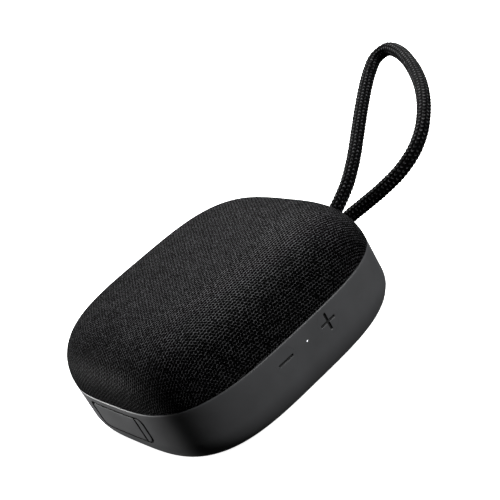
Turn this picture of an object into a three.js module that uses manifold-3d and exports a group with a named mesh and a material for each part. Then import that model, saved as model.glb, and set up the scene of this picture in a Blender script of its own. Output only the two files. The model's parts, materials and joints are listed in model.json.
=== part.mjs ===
// A palm-sized waterproof shower speaker with a woven hang loop, as an assembly of separate pieces.
// It lies on its back: +Z is the fabric front, +X the end with the hang loop, -X the end with the
// port door, -Y the side with the volume buttons. The origin is the centre of the back, at the foot.
// Lengths are in millimetres.
import * as THREE from "three";
import { mergeVertices } from "three/addons/utils/BufferGeometryUtils.js";
import Module from "manifold-3d";

const wasm = await Module();
wasm.setup();

// ---------------------------------------------------------------- driving dimensions

const HALF_LENGTH = 50;
const HALF_WIDTH = 46.25;
const OUTLINE_POWER = 3.45; // the plan outline is a superellipse of this power
const HEIGHT = 44;
const BAND_TOP = 24; // where the rubber band ends and the fabric starts
const BACK_ROUND = 11.5; // radius of the edge between the side and the back
const DOME_EDGE_POWER = 5.1; // the front's section is a superellipse with these two powers
const DOME_TOP_POWER = 2;
const GAP = 0.3; // between pieces that touch

const BACK_FACE = 0.8; // the shell's back, which the foot raises off the surface
const BAND_WALL = 1.8;
const SHELL_WALL = 2;
const FLOOR_TOP = 3;
const RIM_TOP = 22.9;
const FABRIC_WALL = 0.9;
const GRILLE_WALL = 1.5;
const BAFFLE_BOTTOM = BAND_TOP + GAP;
const BAFFLE_TOP = BAFFLE_BOTTOM + 2.5;
const BAFFLE_INSET = 3.3;

const KEY_HEIGHT = 18.5; // the height of every button and of the light
const KEY_SPACING = 9.74; // from the light to each button
const KEY_RADIUS = 4.3;
const KEY_TRAVEL = 0.4;
const MARK_LENGTH = 6.2;
const MARK_STROKE = 0.9;
const MARK_DEPTH = 0.5;

const PORT_HALF_WIDTH = 15.6;
const PORT_BOTTOM = 11.6;
const PORT_TOP = 21;
const PORT_CORNER = 2;
const PORT_FOLD = -12.2; // the hinge line of the door, along Z
const PORT_FOLD_GROOVE = 0.8;
const DOOR_WALL = 1.6;
const SOCKET_HEIGHT = 16.3;
const USB_Y = 6.5;
const AUX_Y = -4;

const SCREW_X = 33;
const SCREW_Y = 29;

const DRIVER_HOLE = 23;
const DRIVER_FLANGE_BOTTOM = BAFFLE_TOP + 1.4;
const DRIVER_FLANGE_TOP = DRIVER_FLANGE_BOTTOM + 1.6;
const DRIVER_SCREW_CIRCLE = 27;

const RADIATOR_HOLE = 23;
const RADIATOR_DISC = 15.5;

const ROPE_DIAMETER = 5;
const ROPE_PITCH = THREE.MathUtils.degToRad(30); // the gland tilts both strands up by this much
const ROPE_TIP_PITCH = THREE.MathUtils.degToRad(18); // the loop has drooped to this slope at its tip
const LOOP_REACH = 78; // from the end wall to the tip
const ROPE_EXIT_Y = 3.6;
const ROPE_EXIT_Z = 14;
const GLAND_REACH = 3; // how far the gland's face stands out of the end wall

const OUTLINE_SIDES = 32;
const ROUND_SIDES = 20;
const SMALL_SIDES = 8;

// ---------------------------------------------------------------- solids

// A closed geometry as a manifold solid.
function solidOf(geometry) {
  geometry.deleteAttribute("normal");
  geometry.deleteAttribute("uv");
  const merged = mergeVertices(geometry);
  return new wasm.Manifold(
    new wasm.Mesh({
      numProp: 3,
      vertProperties: merged.attributes.position.array,
      triVerts: new Uint32Array(merged.index.array),
    }),
  );
}

function geometryOf(solid) {
  const made = solid.getMesh();
  const geometry = new THREE.BufferGeometry();
  geometry.setAttribute("position", new THREE.BufferAttribute(made.vertProperties, 3));
  geometry.setIndex(new THREE.BufferAttribute(made.triVerts, 1));
  geometry.computeVertexNormals();
  return geometry;
}

function union(solids) {
  return solids.reduce((sum, next) => sum.add(next));
}

function cut(solid, cutters) {
  return cutters.reduce((rest, next) => rest.subtract(next), solid);
}

// A box between two opposite corners.
function box(low, high) {
  const geometry = new THREE.BoxGeometry(high[0] - low[0], high[1] - low[1], high[2] - low[2]);
  geometry.translate((low[0] + high[0]) / 2, (low[1] + high[1]) / 2, (low[2] + high[2]) / 2);
  return solidOf(geometry);
}

// A round bar from one point to another.
function bar(from, to, radius, sides = SMALL_SIDES) {
  const start = new THREE.Vector3(...from);
  const along = new THREE.Vector3(...to).sub(start);
  const geometry = new THREE.CylinderGeometry(radius, radius, along.length(), sides);
  geometry.translate(0, along.length() / 2, 0);
  const up = new THREE.Vector3(0, 1, 0);
  geometry.applyQuaternion(new THREE.Quaternion().setFromUnitVectors(up, along.normalize()));
  geometry.translate(start.x, start.y, start.z);
  return solidOf(geometry);
}

// A profile of [radius, height] points turned about Z. It runs up the outside and back down inside.
function turnedGeometry(profile, sides) {
  const points = profile.map(([radius, height]) => new THREE.Vector2(radius, height));
  return new THREE.LatheGeometry(points, sides).rotateX(Math.PI / 2);
}

function turned(profile, sides = ROUND_SIDES) {
  return solidOf(turnedGeometry(profile, sides));
}

function tubeRing(inner, outer, bottom, top, sides = ROUND_SIDES) {
  const profile = [[inner, bottom], [outer, bottom], [outer, top], [inner, top], [inner, bottom]];
  return turned(profile, sides);
}

// A point of the plan outline, moved in by inset, for an angle about Z.
function outlinePoint(angle, inset) {
  const power = 2 / OUTLINE_POWER;
  const across = Math.max(HALF_WIDTH - inset, 0);
  const x = (HALF_LENGTH - inset) * Math.sign(Math.cos(angle)) * Math.abs(Math.cos(angle)) ** power;
  const y = across * Math.sign(Math.sin(angle)) * Math.abs(Math.sin(angle)) ** power;
  return [x, y];
}

// A profile of [inset, height] points carried round the plan outline. An inset of HALF_LENGTH is
// the axis.
function outlined(profile) {
  const turnedProfile = profile.map(([inset, height]) => [HALF_LENGTH - inset, height]);
  const geometry = turnedGeometry(turnedProfile, OUTLINE_SIDES);
  const position = geometry.attributes.position;
  for (let i = 0; i < position.count; i++) {
    const radius = Math.hypot(position.getX(i), position.getY(i));
    const angle = Math.atan2(position.getY(i), position.getX(i));
    const [x, y] = outlinePoint(angle, HALF_LENGTH - radius);
    position.setXY(i, x, y);
  }
  return solidOf(geometry);
}

// The rounded edge at the back: [inset, height] points of an arc about its centre, in degrees below
// the horizontal.
function backArc(radius, fromDegrees, toDegrees, steps) {
  return Array.from({ length: steps + 1 }, (_, i) => {
    const angle = THREE.MathUtils.degToRad(fromDegrees + ((toDegrees - fromDegrees) * i) / steps);
    return [BACK_ROUND - radius * Math.cos(angle), BACK_ROUND - radius * Math.sin(angle)];
  });
}

// The front's dome, moved in by inset: [inset, height] points from the band up to the axis.
function dome(inset) {
  const degrees = [0, 22, 42, 60, 76];
  const points = degrees.map((value) => {
    const angle = THREE.MathUtils.degToRad(value);
    const reach = Math.cos(angle) ** (2 / DOME_EDGE_POWER);
    const rise = Math.sin(angle) ** (2 / DOME_TOP_POWER);
    const edge = (HALF_WIDTH - inset) * (1 - reach) + inset;
    return [edge, BAND_TOP + GAP + (HEIGHT - inset - BAND_TOP - GAP) * rise];
  });
  return [...points, [HALF_LENGTH, HEIGHT - inset]];
}

function domeShell(inset, wall) {
  return outlined([...dome(inset), ...dome(inset + wall).reverse(), dome(inset)[0]]);
}

// A rectangle with round corners, as a shape in its own plane.
function roundedRectangle(width, height, corner) {
  const shape = new THREE.Shape();
  const x = width / 2 - corner;
  const y = height / 2 - corner;
  shape.absarc(x, y, corner, 0, Math.PI / 2);
  shape.absarc(-x, y, corner, Math.PI / 2, Math.PI);
  shape.absarc(-x, -y, corner, Math.PI, Math.PI * 1.5);
  shape.absarc(x, -y, corner, Math.PI * 1.5, Math.PI * 2);
  return shape;
}

function extruded(shape, depth, curveSegments = 2) {
  return new THREE.ExtrudeGeometry(shape, { depth, curveSegments, bevelEnabled: false });
}

// A rounded slab that faces along X, between two values of x.
function endSlab(x0, x1, centreY, centreZ, width, height, corner) {
  const geometry = extruded(roundedRectangle(width, height, corner), x1 - x0);
  geometry.rotateX(Math.PI / 2).rotateZ(Math.PI / 2);
  geometry.translate(x0, centreY, centreZ);
  return solidOf(geometry);
}

// A round tube along a smooth curve through the points.
function cable(points, radius, steps, sides) {
  const curve = new THREE.CatmullRomCurve3(points.map((point) => new THREE.Vector3(...point)));
  const section = new THREE.Shape();
  section.absarc(0, 0, radius, 0, Math.PI * 2);
  const options = { steps, extrudePath: curve, curveSegments: sides / 2, bevelEnabled: false };
  return solidOf(new THREE.ExtrudeGeometry(section, options));
}

// ---------------------------------------------------------------- scene graph

const LOOKS = {
  fabric: [0x121213, 0.95, 0],
  band: [0x47484a, 0.62, 0],
  shell: [0x232425, 0.6, 0],
  foot: [0x1b1b1c, 0.85, 0],
  rope: [0x151515, 0.9, 0],
  frame: [0x2c2d2f, 0.55, 0],
  seal: [0x3b3b3b, 0.9, 0],
  steel: [0xa8abae, 0.35, 0.9],
  magnet: [0x3a3a3d, 0.7, 0.3],
  cone: [0x1f1f22, 0.8, 0],
  spider: [0xb48a3c, 0.9, 0],
  copper: [0xb06a3a, 0.4, 0.8],
  board: [0x1f5a35, 0.5, 0],
  chip: [0x1a1a1c, 0.4, 0],
  cell: [0x2f6fae, 0.45, 0],
  lens: [0xf4f6fa, 0.25, 0],
  lead: [0x8c1f1f, 0.6, 0],
};

const speaker = new THREE.Group();

function add(name, solid, look, parent) {
  const [color, roughness, metalness] = LOOKS[look];
  const material = new THREE.MeshStandardMaterial({ color, roughness, metalness });
  const mesh = new THREE.Mesh(geometryOf(solid), material);
  mesh.name = name;
  parent.add(mesh);
}

// The four corners where the case screws go, in order.
const SCREW_PLACES = [
  [SCREW_X, SCREW_Y],
  [-SCREW_X, SCREW_Y],
  [-SCREW_X, -SCREW_Y],
  [SCREW_X, -SCREW_Y],
];
const SCREW_SHANK = 1.25;
const SCREW_HEAD = 2.6;
const SCREW_HEAD_TOP = 2.8; // how far up from the foot's plane the heads' recesses go
const BOSS_RADIUS = 4;
const BOSS_TOP = FLOOR_TOP + 2;

// ---------------------------------------------------------------- the casing

const BAND_LIP = 46; // degrees below the horizontal at which the band ends under the edge
const SHELL_STEP = 48.5; // where the shell comes out from under it
const SHELL_INSET = BAND_WALL + GAP;
const shellStepRadius = BACK_ROUND - SHELL_INSET;
const backAngle = THREE.MathUtils.radToDeg(Math.asin((BACK_ROUND - BACK_FACE) / BACK_ROUND));

// Everything inside the outer side surface, from the back's round edge to the top of the band.
function outerForm() {
  const side = backArc(BACK_ROUND, backAngle, 0, 4);
  return outlined([[HALF_LENGTH, side[0][1]], ...side, [0, BAND_TOP], [HALF_LENGTH, BAND_TOP]]);
}

// The opening in the band that the door and its hinge tab fill.
function portOpening(x0, x1, spare) {
  const width = 2 * (PORT_HALF_WIDTH + spare);
  const height = PORT_TOP - PORT_BOTTOM + 2 * spare;
  return endSlab(x0, x1, 0, (PORT_BOTTOM + PORT_TOP) / 2, width, height, PORT_CORNER + spare);
}

// Both long sides have two buttons. side is -1 for the volume side and 1 for the power side.
const KEYS = [
  { name: "volume_up", x: KEY_SPACING, side: -1, mark: plusMark },
  { name: "volume_down", x: -KEY_SPACING, side: -1, mark: minusMark },
  { name: "play", x: KEY_SPACING, side: 1, mark: playMark },
  { name: "power", x: -KEY_SPACING, side: 1, mark: powerMark },
];
const KEY_STEM = 1.6;
const LIGHT_RADIUS = 0.45;

// A round bar along a button's direction of travel, between two distances from the middle.
function keyBar(key, near, far, radius, sides) {
  const from = [key.x, key.side * near, KEY_HEIGHT];
  return bar(from, [key.x, key.side * far, KEY_HEIGHT], radius, sides);
}

// The way for the light's pipe, from the volume side inwards.
function lightHole(depth) {
  const from = [0, -HALF_WIDTH - 1, KEY_HEIGHT];
  return bar(from, [0, depth - HALF_WIDTH, KEY_HEIGHT], LIGHT_RADIUS + GAP);
}

// A slab of the gland or the ferrule, or the hole for them, along the direction in which the strands
// leave.
function glandSlab(from, to, width, height, corner) {
  const geometry = extruded(roundedRectangle(width, height, corner), to - from);
  geometry.rotateX(Math.PI / 2).rotateZ(Math.PI / 2);
  geometry.translate(from, 0, 0);
  geometry.rotateY(-ROPE_PITCH);
  geometry.translate(HALF_LENGTH, 0, ROPE_EXIT_Z);
  return solidOf(geometry);
}
const GLAND_WIDTH = 15;
const GLAND_HEIGHT = 7.6;
const GLAND_DEPTH = 4.9;
const GLAND_CORNER = 2.8;

function glandHole(from, to) {
  return glandSlab(from, to, GLAND_WIDTH + 2 * GAP, GLAND_HEIGHT + 2 * GAP, GLAND_CORNER + 0.2);
}

function sideBand() {
  const ring = outlined([
    ...backArc(BACK_ROUND, BAND_LIP, 0, 3),
    [0, BAND_TOP],
    [BAND_WALL, BAND_TOP],
    ...backArc(BACK_ROUND - BAND_WALL, 0, BAND_LIP, 3),
    backArc(BACK_ROUND, BAND_LIP, 0, 3)[0],
  ]);
  const past = 4; // how far in the cutters reach, well past the band's wall
  const cutters = KEYS.map((key) => {
    return keyBar(key, HALF_WIDTH + 1, HALF_WIDTH - past, KEY_RADIUS + GAP, ROUND_SIDES);
  });
  cutters.push(lightHole(past));
  cutters.push(portOpening(-HALF_LENGTH - 2, past - HALF_LENGTH, GAP));
  cutters.push(glandHole(-8, 8));
  return cut(ring, cutters);
}

// The pocket behind the port door, from the shell's wall inwards.
const POCKET = { y0: -10.4, y1: 13.6, z0: 12.7, z1: 19.9, floor: 7.5, wall: 1.5 };

// The shell's four rails beside the key boards: their far corner in plan, size and heights.
const RAIL = { x: 18.3, y: 42.6, width: 2, depth: 5.6, bottom: 8, top: 22 };

function boardRail(sideX, sideY) {
  const far = [sideX * RAIL.x, sideY * RAIL.y];
  const near = [sideX * (RAIL.x - RAIL.width), sideY * (RAIL.y - RAIL.depth)];
  const low = [Math.min(near[0], far[0]), Math.min(near[1], far[1]), RAIL.bottom];
  return box(low, [Math.max(near[0], far[0]), Math.max(near[1], far[1]), RAIL.top]);
}

function rearShell() {
  const tub = outlined([
    [HALF_LENGTH, BACK_FACE],
    ...backArc(BACK_ROUND, backAngle, SHELL_STEP, 2),
    ...backArc(shellStepRadius, SHELL_STEP, 0, 3),
    [SHELL_INSET, RIM_TOP],
    [SHELL_INSET + SHELL_WALL, RIM_TOP],
    ...backArc(shellStepRadius - SHELL_WALL, 0, 60, 3),
    [BACK_ROUND - 1, FLOOR_TOP],
    [HALF_LENGTH, FLOOR_TOP],
  ]);
  const { y0, y1, z0, z1, floor, wall } = POCKET;
  const pocketBack = floor - HALF_LENGTH;
  const trayLow = [3 - HALF_LENGTH, y0 - wall, z0 - wall];
  const tray = box(trayLow, [pocketBack + wall, y1 + wall, z1 + wall]);
  const bosses = SCREW_PLACES.map(([x, y]) => {
    return bar([x, y, FLOOR_TOP - 0.5], [x, y, BOSS_TOP], BOSS_RADIUS);
  });
  const posts = [-BOARD_SCREW_Y, BOARD_SCREW_Y].map((y) => {
    return bar([BOARD_SCREW_X, y, FLOOR_TOP - 0.5], [BOARD_SCREW_X, y, BOARD_BOTTOM - GAP], 2.4);
  });
  const rails = [-1, 1].flatMap((x) => [-1, 1].map((y) => boardRail(x, y)));
  const cutters = SCREW_PLACES.flatMap(([x, y]) => [
    bar([x, y, -1], [x, y, BOSS_TOP + 1], SCREW_SHANK + GAP),
    bar([x, y, -1], [x, y, SCREW_HEAD_TOP], SCREW_HEAD + GAP),
  ]);
  cutters.push(...KEYS.map((key) => keyBar(key, HALF_WIDTH, HALF_WIDTH - 5, KEY_STEM + GAP)));
  cutters.push(lightHole(5));
  cutters.push(bar([0, 0, -1], [0, 0, FLOOR_TOP + 1], RADIATOR_HOLE, PAD_SIDES));
  cutters.push(tubeRing(PAD_INNER - GAP, PAD_OUTER + GAP, -1, PAD_TOP + GAP, PAD_SIDES));
  cutters.push(box([-HALF_LENGTH, y0, z0], [pocketBack, y1, z1]));
  cutters.push(usbForm(pocketBack - 1, pocketBack + wall + 1, GAP));
  const auxFrom = [pocketBack - 1, AUX_Y, SOCKET_HEIGHT];
  cutters.push(bar(auxFrom, [pocketBack + wall + 1, AUX_Y, SOCKET_HEIGHT], AUX_BARREL + GAP));
  cutters.push(glandHole(-8, 4));
  return cut(union([tub, tray, ...bosses, ...posts, ...rails]), cutters);
}

// The rubber foot on the back, a ring around the passive radiator.
const PAD_INNER = 26.5;
const PAD_OUTER = 33.5;
const PAD_TOP = 1.5;
const PAD_SIDES = 24;

// The baffle closes the tub, carries the driver and takes the case screws in four long bosses.
function bafflePlate() {
  const plate = outlined([
    [HALF_LENGTH, BAFFLE_BOTTOM],
    [BAFFLE_INSET, BAFFLE_BOTTOM],
    [BAFFLE_INSET, BAFFLE_BOTTOM + 1.7],
    [BAFFLE_INSET + 1, BAFFLE_TOP],
    [HALF_LENGTH, BAFFLE_TOP],
  ]);
  const bosses = SCREW_PLACES.map(([x, y]) => {
    return bar([x, y, BOSS_TOP + GAP], [x, y, BAFFLE_BOTTOM + 1], BOSS_RADIUS - 1);
  });
  const cutters = SCREW_PLACES.map(([x, y]) => bar([x, y, 0], [x, y, 16], SCREW_SHANK + GAP));
  cutters.push(bar([0, 0, 20], [0, 0, 30], DRIVER_HOLE, PAD_SIDES));
  cutters.push(...driverScrewHoles());
  return cut(union([plate, ...bosses]), cutters);
}

// A countersunk screw whose head faces down, with a cross recess.
function caseScrew(x, y) {
  const face = 1.1;
  const profile = [
    [0, face],
    [SCREW_HEAD, face],
    [SCREW_HEAD, face + 0.5],
    [SCREW_SHANK, 2.5],
    [SCREW_SHANK, 14],
    [0, 15],
  ];
  const long = 1.5;
  const thin = 0.3;
  const top = face + 0.7;
  const slots = [box([-long, -thin, 0], [long, thin, top]), box([-thin, -long, 0], [thin, long, top])];
  return cut(turned(profile, SMALL_SIDES), slots).translate([x, y, 0]);
}

// The perforated frame that holds the fabric in shape.
function grilleFrame() {
  const holePitch = 13.5;
  const holeRadius = 4.6;
  const rings = 2;
  const cutters = [];
  for (let q = -rings; q <= rings; q++) {
    for (let r = Math.max(-rings, -q - rings); r <= Math.min(rings, -q + rings); r++) {
      const x = holePitch * (q + r / 2);
      const y = holePitch * r * Math.sin(Math.PI / 3);
      cutters.push(bar([x, y, BAND_TOP + 4], [x, y, HEIGHT + 1], holeRadius, 6));
    }
  }
  return cut(domeShell(FABRIC_WALL + GAP, GRILLE_WALL), cutters);
}

// ---------------------------------------------------------------- buttons

const KEY_CAP = 1.3;
const KEY_STEM_END = 4.75; // how far in from the side the stem ends

function markBox(key, halfX, halfZ) {
  const near = HALF_WIDTH + 1;
  const far = HALF_WIDTH - MARK_DEPTH;
  const y0 = Math.min(key.side * near, key.side * far);
  const y1 = Math.max(key.side * near, key.side * far);
  return box([key.x - halfX, y0, KEY_HEIGHT - halfZ], [key.x + halfX, y1, KEY_HEIGHT + halfZ]);
}

function minusMark(key) {
  return markBox(key, MARK_LENGTH / 2, MARK_STROKE / 2);
}

function plusMark(key) {
  return minusMark(key).add(markBox(key, MARK_STROKE / 2, MARK_LENGTH / 2));
}

// A triangle that points along +X.
function playMark(key) {
  const half = MARK_LENGTH / 2;
  const triangle = new THREE.Shape();
  triangle.moveTo(-half * 0.6, -half * 0.8);
  triangle.lineTo(half * 0.8, 0);
  triangle.lineTo(-half * 0.6, half * 0.8);
  triangle.closePath();
  const geometry = extruded(triangle, MARK_DEPTH + 1);
  geometry.rotateX(Math.PI / 2);
  geometry.translate(key.x, HALF_WIDTH + 1, KEY_HEIGHT);
  return solidOf(geometry);
}

// A ring that is open at the top, with a bar in the opening.
function powerMark(key) {
  const outer = MARK_LENGTH / 2;
  const near = HALF_WIDTH - MARK_DEPTH;
  const far = HALF_WIDTH + 1;
  const hole = keyBar(key, near - 1, far + 1, outer - MARK_STROKE, ROUND_SIDES);
  const ring = keyBar(key, near, far, outer, ROUND_SIDES).subtract(hole);
  const halfOpening = 1.3;
  const openingLow = [key.x - halfOpening, near - 2, KEY_HEIGHT];
  const opening = box(openingLow, [key.x + halfOpening, far + 1, KEY_HEIGHT + outer + 1]);
  const stroke = MARK_STROKE / 2;
  const line = box([key.x - stroke, near, KEY_HEIGHT], [key.x + stroke, far, KEY_HEIGHT + outer]);
  return ring.subtract(opening).add(line);
}

function keyButton(key) {
  const cap = keyBar(key, HALF_WIDTH + 1, HALF_WIDTH - KEY_CAP, KEY_RADIUS, ROUND_SIDES);
  const stem = keyBar(key, HALF_WIDTH - KEY_CAP + 0.2, HALF_WIDTH - KEY_STEM_END, KEY_STEM);
  return cap.intersect(outerForm()).add(stem).subtract(key.mark(key));
}

// A tactile switch: a square body on the key board and a round plunger that faces the button.
const KEY_BOARD_FACE = 7.65; // how far in from the side the key board's face lies
const KEY_BOARD = { halfLength: 16, wall: 1, bottom: 12.5, top: 22.5 };
const SWITCH_BODY = 1.5;

function tactSwitch(key) {
  const boardSide = key.side * (HALF_WIDTH - KEY_BOARD_FACE + GAP);
  const front = boardSide + key.side * SWITCH_BODY;
  const half = 2.25;
  const y0 = Math.min(boardSide, front);
  const y1 = Math.max(boardSide, front);
  const body = box([key.x - half, y0, KEY_HEIGHT - half], [key.x + half, y1, KEY_HEIGHT + half]);
  const plungerEnd = KEY_STEM_END + KEY_TRAVEL + 0.1;
  return body.add(keyBar(key, HALF_WIDTH - plungerEnd, Math.abs(front) - 0.2, 1));
}

function keyBoard(side) {
  const face = side * (HALF_WIDTH - KEY_BOARD_FACE);
  const back = side * (HALF_WIDTH - KEY_BOARD_FACE - KEY_BOARD.wall);
  const low = [-KEY_BOARD.halfLength, Math.min(face, back), KEY_BOARD.bottom];
  return box(low, [KEY_BOARD.halfLength, Math.max(face, back), KEY_BOARD.top]);
}

function lightPipe() {
  const stem = bar([0, 0.05 - HALF_WIDTH, KEY_HEIGHT], [0, 4.6 - HALF_WIDTH, KEY_HEIGHT], LIGHT_RADIUS);
  return stem.add(bar([0, 4.5 - HALF_WIDTH, KEY_HEIGHT], [0, 6.1 - HALF_WIDTH, KEY_HEIGHT], 1.1));
}

// ---------------------------------------------------------------- port door and sockets

const RIB = { y0: -9.9, y1: 12.6, z0: 13.1, z1: 19.5, depth: 3.8, wall: 1 };

// The door's flap, flush with the band, with a sealing rib that goes into the pocket.
function portDoor() {
  const slab = portOpening(-HALF_LENGTH - 1, DOOR_WALL - HALF_LENGTH, 0);
  const fold = PORT_FOLD + PORT_FOLD_GROOVE / 2;
  const tabSide = box([-60, -30, 0], [-40, fold, 40]);
  const flap = slab.intersect(outerForm()).subtract(tabSide);
  const { y0, y1, z0, z1, depth, wall } = RIB;
  const root = DOOR_WALL - HALF_LENGTH - 0.2;
  const ring = box([root, y0, z0], [depth - HALF_LENGTH, y1, z1]);
  const inside = box([root - 1, y0 + wall, z0 + wall], [depth - HALF_LENGTH + 1, y1 - wall, z1 - wall]);
  return flap.add(ring.subtract(inside.intersect(box([root, y0, z0], [-40, y1, z1]))));
}

// The part of the door's rubber that stays fixed beside the fold, with a plug into the wall.
function portHingeTab() {
  const slab = portOpening(-HALF_LENGTH - 1, DOOR_WALL - HALF_LENGTH, 0);
  const fold = PORT_FOLD - PORT_FOLD_GROOVE / 2;
  return slab.intersect(outerForm()).intersect(box([-60, -30, 0], [-40, fold, 40]));
}

// The outline of the USB-C receptacle's shell, grown by spare.
function usbForm(x0, x1, spare) {
  return endSlab(x0, x1, USB_Y, SOCKET_HEIGHT, 9 + 2 * spare, 3.2 + 2 * spare, 1.4 + spare);
}
const USB_BACK = -35;
const AUX_BARREL = 2.6;

function usbSocket() {
  const mouth = POCKET.floor + GAP - HALF_LENGTH;
  const shell = usbForm(mouth, USB_BACK, 0);
  const hollow = usbForm(mouth - 1, USB_BACK - 1, -0.35);
  const half = { y: 3.3, z: 0.35 };
  const tongueLow = [mouth + 0.6, USB_Y - half.y, SOCKET_HEIGHT - half.z];
  const tongue = box(tongueLow, [USB_BACK - 0.5, USB_Y + half.y, SOCKET_HEIGHT + half.z]);
  return shell.subtract(hollow).add(tongue);
}

function auxSocket() {
  const mouth = POCKET.floor + GAP - HALF_LENGTH;
  const low = SOCKET_HEIGHT - 1.6;
  const body = box([mouth + 1.6, AUX_Y - 3.2, low], [-30, AUX_Y + 3.2, SOCKET_HEIGHT + 2.9]);
  const barrel = bar([mouth, AUX_Y, SOCKET_HEIGHT], [-40, AUX_Y, SOCKET_HEIGHT], AUX_BARREL);
  const trimmed = barrel.subtract(box([mouth + 1.5, AUX_Y - 4, 0], [-38, AUX_Y + 4, low]));
  const bore = bar([mouth - 1, AUX_Y, SOCKET_HEIGHT], [-32, AUX_Y, SOCKET_HEIGHT], 1.3);
  return body.add(trimmed).subtract(bore);
}

// ---------------------------------------------------------------- boards and battery

const BOARD_BOTTOM = 13.2;
const BOARD_TOP = 14.4;
const BOARD_SCREW_X = -34;
const BOARD_SCREW_Y = 19;
const BOARD_NEAR = -40.5;
const BOARD_FAR = -18;

function mainBoard() {
  const plate = box([BOARD_NEAR, -24, BOARD_BOTTOM], [BOARD_FAR, 24, BOARD_TOP]);
  const holes = [-BOARD_SCREW_Y, BOARD_SCREW_Y].map((y) => {
    return bar([BOARD_SCREW_X, y, BOARD_BOTTOM - 1], [BOARD_SCREW_X, y, BOARD_TOP + 1], 1);
  });
  return cut(plate, holes);
}

function boardScrew(y) {
  const base = BOARD_TOP + GAP;
  const tip = BOARD_BOTTOM - 0.2;
  const shank = 0.7;
  const head = 1.9;
  const profile = [[0, tip], [shank, tip], [shank, base], [head, base], [head, base + 1], [0, base + 1.2]];
  return turned(profile, SMALL_SIDES).translate([BOARD_SCREW_X, y, 0]);
}

const CELL_X = 32;
const CELL_Z = 13.6;
const CELL_RADIUS = 7.25;
const CELL_HALF = 25;

// A round lithium cell that lies along Y, with its positive cap at +Y.
function batteryCell() {
  const can = bar([CELL_X, -CELL_HALF, CELL_Z], [CELL_X, CELL_HALF - 1, CELL_Z], CELL_RADIUS, 20);
  return can.add(bar([CELL_X, CELL_HALF - 1.2, CELL_Z], [CELL_X, CELL_HALF, CELL_Z], 2.6));
}

function batteryCradle() {
  const tray = box([24.3, -23.5, 5.4], [40, 23.5, 12]);
  const foot = box([31, -23.5, FLOOR_TOP + GAP], [36, 23.5, 5.6]);
  const seat = bar([CELL_X, -40, CELL_Z], [CELL_X, 40, CELL_Z], CELL_RADIUS + GAP, 20);
  return tray.add(foot).subtract(seat);
}

// A strap over the cell, which stands on the cradle's two edges.
function batteryStrap() {
  const half = 5;
  const outside = bar([CELL_X, -half, CELL_Z], [CELL_X, half, CELL_Z], CELL_RADIUS + GAP + 0.5, 20);
  const inside = bar([CELL_X, -40, CELL_Z], [CELL_X, 40, CELL_Z], CELL_RADIUS + GAP, 20);
  return outside.subtract(inside).subtract(box([0, -40, 0], [60, 40, 12 + GAP]));
}

// ---------------------------------------------------------------- driver and passive radiator

function driverScrewPlaces() {
  return [45, 135, 225, 315].map((degrees) => {
    const angle = THREE.MathUtils.degToRad(degrees);
    return [DRIVER_SCREW_CIRCLE * Math.cos(angle), DRIVER_SCREW_CIRCLE * Math.sin(angle)];
  });
}

const DRIVER_SCREW = 0.9;

function driverScrewHoles() {
  return driverScrewPlaces().map(([x, y]) => bar([x, y, 20], [x, y, 40], DRIVER_SCREW + GAP, 6));
}

const MOTOR_TOP = 16; // the underside of the basket's bottom plate
const COIL_RADIUS = 5.6;
const CONE_NECK = 20.9;
const CONE_RIM = 29.1;
const CONE_RADIUS = 18;

function driverBasket() {
  const bowl = turned([
    [8, MOTOR_TOP],
    [13, MOTOR_TOP],
    [22.4, DRIVER_FLANGE_BOTTOM - 0.6],
    [22.4, DRIVER_FLANGE_BOTTOM],
    [29, DRIVER_FLANGE_BOTTOM],
    [29, DRIVER_FLANGE_TOP],
    [22.2, DRIVER_FLANGE_TOP],
    [22.2, DRIVER_FLANGE_TOP - 1.2],
    [21.2, DRIVER_FLANGE_BOTTOM - 0.6],
    [12.4, MOTOR_TOP + 1.2],
    [8, MOTOR_TOP + 1.2],
    [8, MOTOR_TOP],
  ]);
  const windows = [0, 1].map((turn) => {
    const window = box([-30, -5.5, MOTOR_TOP + 3.2], [30, 5.5, DRIVER_FLANGE_BOTTOM - 2.4]);
    return window.rotate([0, 0, 90 * turn]);
  });
  return cut(bowl, [...windows, ...driverScrewHoles()]);
}

function driverScrew(x, y) {
  const seat = DRIVER_FLANGE_TOP + GAP;
  const tip = BAFFLE_BOTTOM + 0.2;
  const shank = [[0, tip], [DRIVER_SCREW, tip], [DRIVER_SCREW, seat]];
  const head = [[2 * DRIVER_SCREW, seat], [2 * DRIVER_SCREW, seat + 0.8], [0, seat + 1.3]];
  return turned([...shank, ...head], SMALL_SIDES).translate([x, y, 0]);
}

function driverYoke() {
  return turned([[0, 7.6], [13.5, 7.6], [13.5, 9.6], [5.2, 9.6], [5.2, 15.7], [0, 15.7]]);
}

// The paper cone, a thin flared shell from the voice coil to the surround.
function driverCone() {
  const wall = 0.7;
  return turned([
    [COIL_RADIUS, CONE_NECK],
    [COIL_RADIUS + 1, CONE_NECK],
    [12, CONE_NECK + 2.8],
    [CONE_RADIUS, CONE_RIM],
    [CONE_RADIUS - 0.5, CONE_RIM + wall],
    [11.6, CONE_NECK + 2.8 + wall],
    [COIL_RADIUS, CONE_NECK + wall],
    [COIL_RADIUS, CONE_NECK],
  ]);
}

function dustCap() {
  const rim = CONE_NECK + 2.6;
  return turned([
    [0, rim + 1.8],
    [4.5, rim + 1.2],
    [8, rim],
    [8.3, rim + 0.5],
    [4.7, rim + 1.9],
    [0, rim + 2.5],
  ]);
}

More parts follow.
